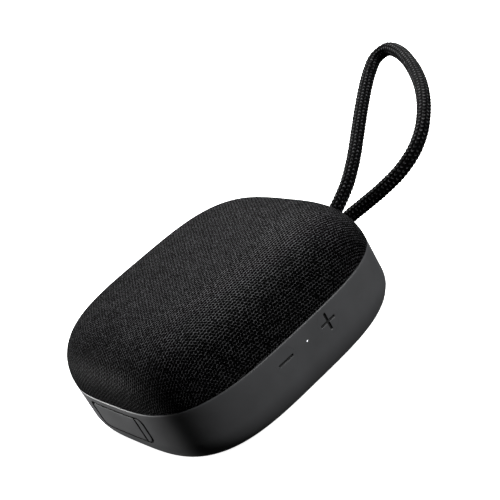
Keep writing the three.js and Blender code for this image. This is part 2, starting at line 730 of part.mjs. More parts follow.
// A half roll between two radii, with a flat lip at each side, as a closed section.
function roll(inner, outer, base, height, wall, lipIn, lipOut) {
  const middle = (inner + outer) / 2;
  const half = (outer - inner) / 2;
  const arc = (scale, lift) => [180, 135, 90, 45, 0].map((value) => {
    const angle = THREE.MathUtils.degToRad(value);
    return [middle + half * scale * Math.cos(angle), base + lift + height * Math.sin(angle)];
  });
  const under = [[inner - lipIn, base], ...arc(1, 0), [outer + lipOut, base]];
  const over = [[outer + lipOut, base + wall], ...arc(1, wall).reverse(), [inner - lipIn, base + wall]];
  return turned([...under, ...over, under[0]]);
}

// The spider centres the coil: a corrugated disc between the coil and the basket.
function driverSpider() {
  const radii = [6.7, 7.8, 9, 10.2, 11.4, 12.4];
  const wave = (i) => (i % 2 ? 0.5 : 0);
  const base = MOTOR_TOP + 1.9;
  const under = radii.map((radius, i) => [radius, base + wave(i)]);
  const over = radii.map((radius, i) => [radius, base + 0.5 + wave(i)]).reverse();
  return turned([...under, ...over, under[0]]);
}

function radiatorDiaphragm() {
  const low = 3.2;
  return turned([
    [0, low + 0.6],
    [9, low + 0.6],
    [11, low],
    [RADIATOR_DISC, low],
    [RADIATOR_DISC, low + 1],
    [6, low + 1.8],
    [6, low + 2.6],
    [0, low + 2.6],
  ]);
}

// ---------------------------------------------------------------- the hang loop and inner leads

// The middle of the rope, from one strand's end at the gland round to the other's, as
// [distance out from the end wall, y]. The loop stands out by its own stiffness, and loopHeight
// gives the shallow arch in which it droops.
const rootReach = (GLAND_REACH + GAP) * Math.cos(ROPE_PITCH);
const LOOP_ROUTE = [
  [rootReach, ROPE_EXIT_Y],
  [rootReach + 3, ROPE_EXIT_Y],
  [14, 2.6],
  [21, 2.7],
  [30, 5.4],
  [41, 10.6],
  [49.5, 14.9],
  [58, 19],
  [66, 22.3],
  [72, 23.3],
  [75.8, 19.8],
  [74.4, 12],
  [68.6, 1],
  [61.4, -8.8],
  [54.8, -15.5],
  [48, -20.5],
  [40.5, -24],
  [33.5, -24.8],
  [26.5, -22.6],
  [20, -17.6],
  [14, -11.2],
  [9.6, -6.2],
  [rootReach + 3, -ROPE_EXIT_Y],
  [rootReach, -ROPE_EXIT_Y],
];

function loopHeight(out) {
  const rise = Math.tan(ROPE_PITCH);
  const droop = (rise - Math.tan(ROPE_TIP_PITCH)) / (2 * LOOP_REACH);
  return ROPE_EXIT_Z + rise * out - droop * out * out;
}

function loopPoint([out, y]) {
  return [HALF_LENGTH + out, y, loopHeight(out)];
}

// ---------------------------------------------------------------- assembly

const front = new THREE.Group();
add("fabric_grille", domeShell(0, FABRIC_WALL), "fabric", front);
add("grille_frame", grilleFrame(), "frame", front);

const casing = new THREE.Group();
add("side_band", sideBand(), "band", casing);
add("rear_shell", rearShell(), "shell", casing);
add("base_pad", tubeRing(PAD_INNER, PAD_OUTER, 0, PAD_TOP, PAD_SIDES), "foot", casing);
const seal = { outer: 2.8, inner: 3.9, bottom: RIM_TOP + GAP };
const sealProfile = [
  [seal.inner, seal.bottom],
  [seal.outer, seal.bottom],
  [seal.outer, BAND_TOP],
  [seal.inner, BAND_TOP],
  [seal.inner, seal.bottom],
];
add("case_seal", outlined(sealProfile), "seal", casing);
add("baffle_plate", bafflePlate(), "frame", casing);
SCREW_PLACES.forEach(([x, y], i) => add(`case_screw_${i + 1}`, caseScrew(x, y), "steel", casing));

const controls = new THREE.Group();
for (const key of KEYS) {
  add(`${key.name}_button`, keyButton(key), "band", controls);
  add(`${key.name}_switch`, tactSwitch(key), "chip", controls);
}
add("volume_board", keyBoard(-1), "board", controls);
add("power_board", keyBoard(1), "board", controls);
const ledFace = KEY_BOARD_FACE - GAP - HALF_WIDTH;
const led = box([-0.8, ledFace - 0.8, KEY_HEIGHT - 0.5], [0.8, ledFace, KEY_HEIGHT + 0.5]);
add("status_led", led, "lens", controls);
add("led_light_pipe", lightPipe(), "lens", controls);

const port = new THREE.Group();
add("port_door", portDoor(), "band", port);
add("port_hinge_tab", portHingeTab(), "band", port);
add("usb_c_socket", usbSocket(), "steel", port);
add("aux_socket", auxSocket(), "chip", port);

const electronics = new THREE.Group();
add("main_board", mainBoard(), "board", electronics);
add("board_screw_1", boardScrew(BOARD_SCREW_Y), "steel", electronics);
add("board_screw_2", boardScrew(-BOARD_SCREW_Y), "steel", electronics);
const chipBase = BOARD_TOP + GAP;
add("bluetooth_shield", box([-28.5, 2, chipBase], [-19.5, 14, chipBase + 1.8]), "steel", electronics);
add("amplifier_chip", box([-27, -12, chipBase], [-22, -7, chipBase + 1]), "chip", electronics);
add("battery_cell", batteryCell(), "cell", electronics);
add("battery_cradle", batteryCradle(), "frame", electronics);
add("battery_strap", batteryStrap(), "seal", electronics);

const driver = new THREE.Group();
const gasketBottom = BAFFLE_TOP + GAP;
const gasket = tubeRing(DRIVER_HOLE + GAP, 25, gasketBottom, DRIVER_FLANGE_BOTTOM - GAP);
add("driver_gasket", gasket, "seal", driver);
add("driver_basket", driverBasket(), "steel", driver);
add("driver_top_plate", tubeRing(6.6, 13, MOTOR_TOP - GAP - 1.5, MOTOR_TOP - GAP), "steel", driver);
add("driver_magnet", tubeRing(8.5, 14.5, 9.9, MOTOR_TOP - 2 * GAP - 1.5), "magnet", driver);
add("driver_yoke", driverYoke(), "steel", driver);
add("voice_coil", tubeRing(COIL_RADIUS, COIL_RADIUS + 0.6, 12.6, CONE_NECK - GAP), "copper", driver);
add("driver_spider", driverSpider(), "spider", driver);
add("driver_cone", driverCone(), "cone", driver);
add("dust_cap", dustCap(), "cone", driver);
const surround = roll(18.5, 21.6, DRIVER_FLANGE_TOP + GAP, 1.5, 0.5, 0.4, 3.2);
add("driver_surround", surround, "foot", driver);
driverScrewPlaces().forEach(([x, y], i) => {
  add(`driver_screw_${i + 1}`, driverScrew(x, y), "steel", driver);
});

const radiator = new THREE.Group();
add("radiator_frame", tubeRing(21.6, 26, FLOOR_TOP + GAP, 5.1), "frame", radiator);
add("radiator_surround", roll(16.1, 21, 3.4, 1.4, 0.6, 0.3, 0.3), "foot", radiator);
add("radiator_diaphragm", radiatorDiaphragm(), "shell", radiator);

const loop = new THREE.Group();
const gland = glandSlab(-GLAND_DEPTH, GLAND_REACH, GLAND_WIDTH, GLAND_HEIGHT, GLAND_CORNER);
add("loop_gland", gland, "foot", loop);
add("loop_ferrule", glandSlab(-GLAND_DEPTH - GAP - 2.8, -GLAND_DEPTH - GAP, 13, 5, 1), "steel", loop);
add("hang_loop", cable(LOOP_ROUTE.map(loopPoint), ROPE_DIAMETER / 2, 40, 10), "rope", loop);

const leads = new THREE.Group();
const speakerLead = [
  [-20, -18, 15.5],
  [-18, -19.5, 18],
  [-14, -19, 20],
  [-12, -18, 21.3],
  [-10.2, -16.8, 21.6],
];
add("speaker_lead", cable(speakerLead, 0.7, 8, 6), "lead", leads);
const batteryLead = [[-20, 21.5, 15.2], [-14, 25, 18], [0, 28.5, 19.5], [14, 29, 18.5], [24, 27.5, 16.5]];
add("battery_lead", cable(batteryLead, 0.8, 10, 6), "lead", leads);

speaker.add(front, casing, controls, port, electronics, driver, radiator, loop, leads);

export default speaker;
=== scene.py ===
"""The looks of a palm-sized waterproof shower speaker.

It lies on its back. +Z is the cloth, +X the hang loop's end, -X the port door's end, -Y the volume side.
Shape constants are in millimetres, and mesh_piece scales them to metres.
"""

import json
import math

import bmesh
import bpy
import numpy as np
from mathutils import Matrix, Vector


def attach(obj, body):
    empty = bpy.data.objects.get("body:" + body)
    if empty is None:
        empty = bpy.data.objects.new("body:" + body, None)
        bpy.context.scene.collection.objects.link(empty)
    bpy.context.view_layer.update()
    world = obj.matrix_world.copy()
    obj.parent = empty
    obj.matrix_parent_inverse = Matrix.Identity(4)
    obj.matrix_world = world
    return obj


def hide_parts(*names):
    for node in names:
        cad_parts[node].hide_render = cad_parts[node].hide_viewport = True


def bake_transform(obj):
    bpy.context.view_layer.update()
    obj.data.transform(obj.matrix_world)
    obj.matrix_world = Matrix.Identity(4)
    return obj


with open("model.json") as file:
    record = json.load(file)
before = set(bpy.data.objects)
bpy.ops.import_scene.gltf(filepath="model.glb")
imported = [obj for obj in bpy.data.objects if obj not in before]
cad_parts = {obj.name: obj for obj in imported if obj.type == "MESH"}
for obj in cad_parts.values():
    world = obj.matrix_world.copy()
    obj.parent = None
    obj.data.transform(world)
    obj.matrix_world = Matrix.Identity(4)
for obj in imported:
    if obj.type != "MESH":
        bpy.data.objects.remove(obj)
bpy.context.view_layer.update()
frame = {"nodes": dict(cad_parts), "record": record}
MM = 0.001

# ---------------------------------------------------------------- shape constants, shared with the CAD source

HALF_LENGTH, HALF_WIDTH = 50.0, 46.25
OUTLINE_POWER = 3.45
HEIGHT, BAND_TOP, BACK_ROUND, BACK_FACE = 44.0, 24.0, 11.5, 0.8
DOME_POWER = 5.1
GAP, HAIR, PORT_GROOVE = 0.3, 0.02, 0.7  # between CAD pieces, round a flush button and round the door
BAND_WALL, SHELL_WALL, FLOOR_TOP, RIM_TOP = 1.8, 2.0, 3.0, 22.9
FABRIC_WALL = 0.9
KEY_HEIGHT, KEY_SPACING, KEY_RADIUS, KEY_CAP = 18.5, 9.74, 4.3, 1.3
KEY_STEM, KEY_STEM_END = 1.6, 4.75
MARK_LENGTH, MARK_STROKE, MARK_DEPTH = 6.2, 0.9, 0.5
PORT_HALF_WIDTH, PORT_BOTTOM, PORT_TOP, PORT_CORNER = 15.6, 11.6, 21.0, 2.0
PORT_FOLD, PORT_FOLD_GROOVE, DOOR_WALL = -12.2, 0.8, 1.6
RIB = {"y": (-9.9, 12.6), "z": (13.1, 19.5), "depth": 3.8, "wall": 1.0}
POCKET = {"y": (-10.4, 13.6), "z": (12.7, 19.9), "floor": 7.5, "wall": 1.5}
SOCKET_HEIGHT, USB_Y, AUX_Y = 16.3, 6.5, -4.0
SCREW_PLACES = [(33, 29), (-33, 29), (-33, -29), (33, -29)]
PAD_INNER, PAD_OUTER = 26.5, 33.5
RADIATOR_HOLE, RADIATOR_DISC = 23.0, 15.5
ROPE_DIAMETER, ROPE_PITCH, ROPE_TIP_PITCH = 5.0, math.radians(30), math.radians(18)
LOOP_REACH, ROPE_EXIT_Y, ROPE_EXIT_Z, GLAND_REACH = 78.0, 3.6, 14.0, 3.0
GLAND_WIDTH, GLAND_HEIGHT, GLAND_DEPTH = 15.0, 7.6, 4.9

# ---------------------------------------------------------------- camera

VIEW_AZIMUTH, VIEW_ELEVATION, VIEW_ROLL = (math.radians(v) for v in (-116.9, 23.83, -29.8))
VIEW_DISTANCE = 0.441


def make_camera():
    """A camera at the photograph's angle, rolled about its own axis."""
    back = Vector((
        math.cos(VIEW_AZIMUTH) * math.cos(VIEW_ELEVATION),
        math.sin(VIEW_AZIMUTH) * math.cos(VIEW_ELEVATION),
        math.sin(VIEW_ELEVATION),
    ))
    level = Vector((-math.sin(VIEW_AZIMUTH), math.cos(VIEW_AZIMUTH), 0))
    right = level * math.cos(VIEW_ROLL) + back.cross(level) * math.sin(VIEW_ROLL)
    up = back.cross(right)
    data = bpy.data.cameras.new("camera")
    data.lens, data.sensor_width = 93.0, 36.0
    data.clip_start, data.clip_end = 0.01, 20.0
    camera = bpy.data.objects.new("camera", data)
    bpy.context.scene.collection.objects.link(camera)
    turn = Matrix((right, up, back)).transposed()
    target = Vector((0.0210, -0.0016, 0.0333))
    camera.matrix_world = Matrix.Translation(target + back * VIEW_DISTANCE) @ turn.to_4x4()
    bpy.context.scene.camera = camera


make_camera()

# ---------------------------------------------------------------- mesh helpers


def link(name, mesh):
    made = bpy.data.objects.new(name, mesh)
    bpy.context.scene.collection.objects.link(made)
    return made


def mesh_piece(name, points, faces, smooth=40.0):
    """A piece from points in millimetres."""
    mesh = bpy.data.meshes.new(name)
    mesh.from_pydata((np.asarray(points, float) * MM).tolist(), [], [tuple(map(int, f)) for f in faces])
    mesh.validate()
    mesh.update()
    made = link(name, mesh)
    face_out(made)
    shade(made, smooth)
    return made


def face_out(piece):
    bm = bmesh.new()
    bm.from_mesh(piece.data)
    bmesh.ops.recalc_face_normals(bm, faces=bm.faces)
    bm.to_mesh(piece.data)
    bm.free()


def shade(piece, degrees):
    """Smooth shading with edges sharper than this kept sharp."""
    mesh = piece.data
    mesh.polygons.foreach_set("use_smooth", [True] * len(mesh.polygons))
    mesh.set_sharp_from_angle(angle=math.radians(degrees))
    mesh.update()


def ring_faces(rows, around, closed_rows=False):
    """Quads between rows of points, each row closed round."""
    faces = []
    for r in range(rows if closed_rows else rows - 1):
        a, b = r * around, (r + 1) % rows * around
        for i in range(around):
            j = (i + 1) % around
            faces.append((a + i, a + j, b + j, b + i))
    return faces


def outline(angles, inset):
    """The plan outline, a superellipse, moved in by an inset."""
    power = 2 / OUTLINE_POWER
    c, s = np.cos(angles), np.sin(angles)
    x = (HALF_LENGTH - inset) * np.sign(c) * np.abs(c) ** power
    y = max(HALF_WIDTH - inset, 0) * np.sign(s) * np.abs(s) ** power
    return x, y


def even_angles(count):
    """Angles whose outline points are evenly spaced."""
    fine = np.linspace(0, 2 * math.pi, 40001)
    x, y = outline(fine, 0)
    run = np.concatenate([[0], np.cumsum(np.hypot(np.diff(x), np.diff(y)))])
    return np.interp(np.arange(count) / count * run[-1], run, fine)


AROUND = 256
ANGLES = even_angles(AROUND)


def outlined(name, profile, smooth=40.0):
    """A closed solid: [inset, height] points carried round the outline. HALF_LENGTH is the axis."""
    rows, poles = [], []
    for inset, z in profile:
        if inset >= HALF_LENGTH:
            poles.append(z)
        else:
            x, y = outline(ANGLES, inset)
            rows.append(np.stack([x, y, np.full_like(x, z)], axis=1))
    points = np.concatenate(rows + [np.array([[0, 0, z]]) for z in poles])
    faces = ring_faces(len(rows), AROUND, closed_rows=not poles)
    if poles:
        first, last = len(rows) * AROUND, (len(rows) - 1) * AROUND
        for i in range(AROUND):
            j = (i + 1) % AROUND
            faces.append((first, j, i))
            faces.append((first + 1, last + i, last + j))
    return mesh_piece(name, points, faces, smooth)


def turned(name, profile, around=96, smooth=40.0):
    """A closed [radius, height] profile turned about Z. A radius of 0 is the axis."""
    angles = np.arange(around) / around * 2 * math.pi
    points, rings = [], []
    for radius, z in profile:
        if radius == 0:
            rings.append([len(points)] * around)
            points.append((0, 0, z))
        else:
            rings.append(list(range(len(points), len(points) + around)))
            points += [(radius * math.cos(a), radius * math.sin(a), z) for a in angles]
    faces = []
    for k, ring in enumerate(rings):
        after = rings[(k + 1) % len(rings)]
        for i in range(around):
            j = (i + 1) % around
            face = list(dict.fromkeys((ring[i], ring[j], after[j], after[i])))
            if len(face) > 2:
                faces.append(face)
    return mesh_piece(name, points, faces, smooth)


def box(low, high):
    """A box between two corners, to cut with or to join."""
    corners = [(x, y, z) for x in (low[0], high[0]) for y in (low[1], high[1]) for z in (low[2], high[2])]
    faces = [(0, 1, 3, 2), (4, 6, 7, 5), (0, 4, 5, 1), (2, 3, 7, 6), (0, 2, 6, 4), (1, 5, 7, 3)]
    return mesh_piece("cutter", corners, faces)


def bar(start, end, radius, around=64):
    """A round bar between two points."""
    start, along = Vector(start), Vector(end) - Vector(start)
    side = along.orthogonal().normalized()
    other = along.normalized().cross(side)
    angles = np.arange(around) / around * 2 * math.pi
    rim = [side * (radius * math.cos(a)) + other * (radius * math.sin(a)) for a in angles]
    points = [start + r for r in rim] + [start + along + r for r in rim]
    faces = ring_faces(2, around) + [tuple(range(around))[::-1], tuple(range(around, 2 * around))]
    return mesh_piece("cutter", points, faces)


def rounded_rectangle(half_width, half_height, corner, steps=8):
    """The ring of a rectangle with round corners."""
    points = []
    for quarter, (sx, sy) in enumerate(((1, 1), (-1, 1), (-1, -1), (1, -1))):
        for k in range(steps + 1):
            angle = (quarter + k / steps) * math.pi / 2
            points.append((
                sx * (half_width - corner) + corner * math.cos(angle),
                sy * (half_height - corner) + corner * math.sin(angle),
            ))
    return points


def loft(name, sections, smooth=40.0):
    """A closed solid through sections, each a closed ring of the same number of points, with flat ends."""
    around = len(sections[0])
    points = np.concatenate([np.asarray(s, float) for s in sections])
    last = (len(sections) - 1) * around
    ends = [tuple(range(around))[::-1], tuple(range(last, last + around))]
    return mesh_piece(name, points, ring_faces(len(sections), around) + ends, smooth)


def port_prism(x0, x1, spare):
    """The port opening, grown by the groove round the door, which is widest at its two short sides."""
    wider, shift_y, shift_z = 1.9, 0.25, 0.1
    middle = (PORT_BOTTOM + PORT_TOP) / 2
    half = (PORT_TOP - PORT_BOTTOM) / 2 + spare
    rim = rounded_rectangle(PORT_HALF_WIDTH + wider * spare, half, PORT_CORNER + spare)
    return loft("cutter", [[(x, y + shift_y, middle + shift_z + z) for y, z in rim] for x in (x0, x1)])


def drop_slivers(mesh):
    """Takes out the faces without area that a boolean or a bevel can leave."""
    bm = bmesh.new()
    bm.from_mesh(mesh)
    bmesh.ops.remove_doubles(bm, verts=bm.verts, dist=0.002 * MM)
    bmesh.ops.dissolve_degenerate(bm, edges=bm.edges, dist=0.001 * MM)
    bm.to_mesh(mesh)
    bm.free()


def combine(target, pieces, operation="DIFFERENCE", smooth=40.0):
    """Cuts pieces out of the target, or joins them to it, and removes them."""
    for piece in pieces:
        modifier = target.modifiers.new("combine", "BOOLEAN")
        modifier.solver, modifier.operation, modifier.object = "EXACT", operation, piece
    graph = bpy.context.evaluated_depsgraph_get()
    mesh = bpy.data.meshes.new_from_object(target.evaluated_get(graph))
    target.modifiers.clear()
    target.data = mesh
    for piece in pieces:
        bpy.data.objects.remove(piece)
    drop_slivers(mesh)
    shade(target, smooth)
    return target


def join(target, pieces):
    """Adds the pieces' meshes to the target's, as they are."""
    bm = bmesh.new()
    bm.from_mesh(target.data)
    for piece in pieces:
        bm.from_mesh(piece.data)
        bpy.data.objects.remove(piece)
    bm.to_mesh(target.data)
    bm.free()
    return target


def soften(piece, width, degrees, segments):
    """Rounds the edges that are sharper than this angle."""
    modifier = piece.modifiers.new("soften", "BEVEL")
    modifier.width, modifier.segments = width * MM, segments
    modifier.limit_method, modifier.angle_limit = "ANGLE", math.radians(degrees)
    graph = bpy.context.evaluated_depsgraph_get()
    mesh = bpy.data.meshes.new_from_object(piece.evaluated_get(graph))
    piece.modifiers.clear()
    piece.data = mesh
    drop_slivers(mesh)
    shade(piece, 40.0)
    return piece


def back_arc(radius, start, end, steps):
    """The rounded edge at the back: [inset, height] points, from degrees below the horizontal."""
    angles = np.radians(np.linspace(start, end, steps + 1))
    return [(BACK_ROUND - radius * math.cos(a), BACK_ROUND - radius * math.sin(a)) for a in angles]


# ---------------------------------------------------------------- materials


def node(tree, kind, values=None, **settings):
    """A shader node. A value is a number, a colour or another node's socket."""
    made = tree.nodes.new("ShaderNode" + kind)
    for key, value in settings.items():
        setattr(made, key, value)
    for key, value in (values or {}).items():
        if isinstance(value, bpy.types.NodeSocket):
            tree.links.new(value, made.inputs[key])
        else:
            made.inputs[key].default_value = value
    return made


def sums(tree, operation, a, b=0.0):
    return node(tree, "Math", {0: a, 1: b}, operation=operation).outputs[0]


def spread(tree, value, low, high, to_low=0.0, to_high=1.0, smooth=False):
    kind = "SMOOTHSTEP" if smooth else "LINEAR"
    values = {"Value": value, "From Min": low, "From Max": high, "To Min": to_low, "To Max": to_high}
    return node(tree, "MapRange", values, interpolation_type=kind).outputs["Result"]


def blend_colours(tree, share, first, second):
    made = node(tree, "Mix", data_type="RGBA")
    for key, value in ((0, share), (6, first), (7, second)):
        if isinstance(value, bpy.types.NodeSocket):
            tree.links.new(value, made.inputs[key])
        else:
            made.inputs[key].default_value = value if key == 0 else (*value, 1)
    return made.outputs[2]


def noise(tree, vector, scale, detail=3.0, roughness=0.55):
    values = {"Vector": vector, "Scale": scale, "Detail": detail, "Roughness": roughness}
    return node(tree, "TexNoise", values).outputs["Fac"]


def start_material(name, roughness=0.6, metallic=0.0, **uniform):
    """A Principled material, its tree, its shader and a vector in millimetres.

    uniform holds the shader's own constants.
    """
    material = bpy.data.materials.new(name)
    material.use_nodes = True
    tree = material.node_tree
    shader = next(n for n in tree.nodes if n.type == "BSDF_PRINCIPLED")
    shader.inputs["Roughness"].default_value = roughness
    shader.inputs["Metallic"].default_value = metallic
    for key, value in uniform.items():
        shader.inputs[key.replace("_", " ")].default_value = value
    place = node(tree, "TexCoord").outputs["Object"]
    vector = node(tree, "VectorMath", {0: place, 1: (1000, 1000, 1000)}, operation="MULTIPLY").outputs[0]
    return material, tree, shader, vector


def finish_material(tree, shader, colour=None, roughness=None, height=None, depth=0.05, strength=0.5):
    """Links colour and roughness, and a bump of the given depth in millimetres."""
    if colour is not None:
        tree.links.new(colour, shader.inputs["Base Color"])
    if roughness is not None:
        tree.links.new(roughness, shader.inputs["Roughness"])
    if height is not None:
        bump = node(tree, "Bump", {"Height": height, "Distance": depth * MM, "Strength": strength})
        tree.links.new(bump.outputs["Normal"], shader.inputs["Normal"])


def moulded(name, dark, light, roughness, grain=9.0, depth=0.03, strength=0.35, metallic=0.0, **uniform):
    """Plastic, rubber or metal: mottled colour, uneven roughness and a fine grain."""
    material, tree, shader, vector = start_material(name, roughness, metallic, **uniform)
    mottle = noise(tree, vector, 0.11, 4.0)
    fine = noise(tree, vector, grain, 2.0)
    share = spread(tree, sums(tree, "ADD", mottle, sums(tree, "MULTIPLY", fine, 0.35)), 0.45, 0.9)
    colour = blend_colours(tree, share, dark, light)
    rough = spread(tree, sums(tree, "ADD", mottle, fine), 0.6, 1.4, roughness - 0.07, roughness + 0.08)
    finish_material(tree, shader, colour, rough, fine, depth, strength)
    return material


def fabric_material():
    """Knitted mesh: a hexagonal net of threads round dark holes, on the "weave" map in millimetres."""
    material, tree, shader, vector = start_material(
        "speaker_cloth", 0.5, Sheen_Weight=0.001, Sheen_Roughness=0.4, Specular_IOR_Level=0.012)
    shader.inputs["Sheen Tint"].default_value = (0.8, 0.83, 0.9, 1)
    weave = node(tree, "UVMap", uv_map="weave").outputs[0]
    wander = node(tree, "TexNoise", {"Vector": vector, "Scale": 0.55, "Detail": 2.0}).outputs["Color"]
    wander = node(tree, "VectorMath", {0: wander, 1: (0.5, 0.5, 0.5)}, operation="SUBTRACT").outputs[0]
    wander = node(tree, "VectorMath", {0: wander, "Scale": 0.7}, operation="SCALE").outputs[0]
    weave = node(tree, "VectorMath", {0: weave, 1: wander}, operation="ADD").outputs[0]
    pitch = 1.22  # from cell to cell, in millimetres
    wave = 4 * math.pi / (math.sqrt(3) * pitch)
    net = None
    for degrees, weight in ((90, 1.25), (30, 1.0), (150, 1.0)):
        angle = math.radians(degrees)
        along = (wave * math.cos(angle), wave * math.sin(angle), 0)
        dot = node(tree, "VectorMath", {0: weave, 1: along}, operation="DOT_PRODUCT").outputs["Value"]
        ripple = sums(tree, "MULTIPLY", sums(tree, "COSINE", dot), weight)
        net = ripple if net is None else sums(tree, "ADD", net, ripple)
    hole = spread(tree, net, -1.15, -0.55, smooth=True)
    yarn = noise(tree, vector, 2.3, 2.0, 0.6)
    patch = noise(tree, vector, 0.16, 3.0)
    glint = sums(tree, "ADD", yarn, sums(tree, "MULTIPLY", patch, 0.12))
    glint = spread(tree, glint, 0.5, 0.66, smooth=True)
    # Painted shade: the painted thread glints are darkened lower down the dome, towards the band, by the
    # "crown" height.
    crown = node(tree, "Attribute", attribute_name="crown").outputs["Fac"]
    glint = sums(tree, "MULTIPLY", glint, spread(tree, crown, 0.3, 1.0, 0.75, 1.0, smooth=True))
    thread = blend_colours(tree, glint, (0.0010, 0.0010, 0.0011), (0.062, 0.062, 0.065))
    colour = blend_colours(tree, hole, thread, (0.0004, 0.0004, 0.00045))
    rough = spread(tree, hole, 0.0, 1.0, 0.42, 0.95)
    height = sums(tree, "ADD", sums(tree, "MULTIPLY", hole, -1.0), sums(tree, "MULTIPLY", yarn, 0.25))
    finish_material(tree, shader, colour, rough, height, 0.5, 1.0)
    return material


def rope_material():
    """Braided cord. Its stitches are in the mesh, and its "crest" attribute places painted highlights on them
    and painted shade between them.
    """
    material, tree, shader, vector = start_material(
        "braided_cord", 0.7, Sheen_Weight=0.003, Sheen_Roughness=0.4, Specular_IOR_Level=0.03)
    crest = node(tree, "Attribute", attribute_name="crest").outputs["Fac"]
    speckle = noise(tree, vector, 2.1, 3.0, 0.7)
    yarn = noise(tree, vector, 6.5, 2.0)
    # Painted highlight on the stitch crests, broken up by speckle, and painted shade in the grooves between
    # them.
    crest_highlight = spread(tree, crest, 0.56, 0.94, smooth=True)
    share = sums(tree, "MULTIPLY", crest_highlight, spread(tree, speckle, 0.46, 0.6))
    colour = blend_colours(tree, share, (0.0005, 0.0005, 0.0006), (0.12, 0.12, 0.125))
    rough = spread(tree, crest, 0.0, 1.0, 0.9, 0.5)
    finish_material(tree, shader, colour, rough, sums(tree, "ADD", yarn, speckle), 0.14, 0.8)
    return material


def band_material():
    """Soft matt rubber with faint dust, and painted shade: black where the "sunk" attribute says groove or
    debossed mark.
    """
    material, tree, shader, vector = start_material(
        "soft_rubber", 0.5, Specular_IOR_Level=0.4, Sheen_Weight=0.02, Sheen_Roughness=0.5)
    mottle = noise(tree, vector, 0.09, 4.0)
    fine = noise(tree, vector, 13.0, 2.0)
    dust = spread(tree, noise(tree, vector, 1.3, 5.0, 0.75), 0.63, 0.78)
    share = spread(tree, mottle, 0.3, 0.7)
    colour = blend_colours(tree, share, (0.052, 0.053, 0.055), (0.060, 0.061, 0.064))
    colour = blend_colours(tree, sums(tree, "MULTIPLY", dust, 0.35), colour, (0.075, 0.076, 0.078))
    # Painted shade: recesses of the marks and the walls of the groove are painted towards black by how deep
    # they sit.
    sunk = node(tree, "Attribute", attribute_name="sunk").outputs["Fac"]
    colour = blend_colours(tree, sums(tree, "MULTIPLY", sunk, 0.95), colour, (0.002, 0.002, 0.0022))
    rough = spread(tree, sums(tree, "ADD", fine, mottle), 0.6, 1.4, 0.43, 0.57)
    rough = sums(tree, "ADD", rough, sums(tree, "MULTIPLY", sunk, 0.45))
    finish_material(tree, shader, colour, rough, fine, 0.018, 0.4)
    return material


def cloth_material(name, dark, light, pitch):
    """A plain weave along the node's own X and Y."""
    material, tree, shader, vector = start_material(name, 0.85, Sheen_Weight=0.1)
    values = {"Vector": vector, "Scale": 1 / pitch, "Distortion": 0.4}
    over = node(tree, "TexWave", values, bands_direction="X").outputs["Fac"]
    under = node(tree, "TexWave", values, bands_direction="Y").outputs["Fac"]
    weave = sums(tree, "MAXIMUM", over, under)
    colour = blend_colours(tree, sums(tree, "MULTIPLY", weave, noise(tree, vector, 0.8)), dark, light)
    finish_material(tree, shader, colour, spread(tree, weave, 0, 1, 0.95, 0.75), weave, 0.1, 0.7)
    return material


def wound_material(name, dark, light, direction, pitch, roughness, metallic):
    """Fine parallel lines: wound copper wire, turned steel or a cell's wrap."""
    material, tree, shader, vector = start_material(name, roughness, metallic)
    values = {"Vector": vector, "Scale": 1 / pitch, "Distortion": 0.6, "Detail": 2.0}
    lines = node(tree, "TexWave", values, bands_direction=direction).outputs["Fac"]
    mottle = noise(tree, vector, 0.6, 4.0)
    colour = blend_colours(tree, sums(tree, "MULTIPLY", lines, mottle), dark, light)
    rough = spread(tree, mottle, 0.3, 0.7, roughness - 0.08, roughness + 0.1)
    finish_material(tree, shader, colour, rough, lines, 0.05, 0.5)
    return material


def board_material():
    """Solder mask over copper tracks, with small pads."""
    material, tree, shader, vector = start_material("circuit_board", 0.35, Coat_Weight=0.4)
    values = {"Vector": vector, "Scale": 0.55, "Randomness": 0.7}
    tracks = node(tree, "TexVoronoi", values, feature="DISTANCE_TO_EDGE", distance="MANHATTAN")
    pads = node(tree, "TexVoronoi", {"Vector": vector, "Scale": 0.33, "Randomness": 0.8}).outputs["Distance"]
    track = spread(tree, tracks.outputs["Distance"], 0.05, 0.09)
    pad = spread(tree, pads, 0.13, 0.17)
    colour = blend_colours(tree, track, (0.028, 0.16, 0.06), (0.012, 0.075, 0.03))
    colour = blend_colours(tree, pad, (0.62, 0.6, 0.55), colour)
    finish_material(tree, shader, colour, spread(tree, pad, 0, 1, 0.25, 0.45), track, -0.05, 0.5)
    return material


def light_material():
    """The status light's lens, lit white at its middle."""
    material, tree, shader, vector = start_material("lit_lens", 0.2, Emission_Strength=1.2, Coat_Weight=0.5)
    cloudy = noise(tree, vector, 3.0)
    colour = blend_colours(tree, cloudy, (0.75, 0.78, 0.82), (0.95, 0.96, 1.0))
    finish_material(tree, shader, colour, spread(tree, cloudy, 0.3, 0.7, 0.15, 0.3), cloudy, 0.02, 0.3)
    tree.links.new(colour, shader.inputs["Emission Color"])
    return material


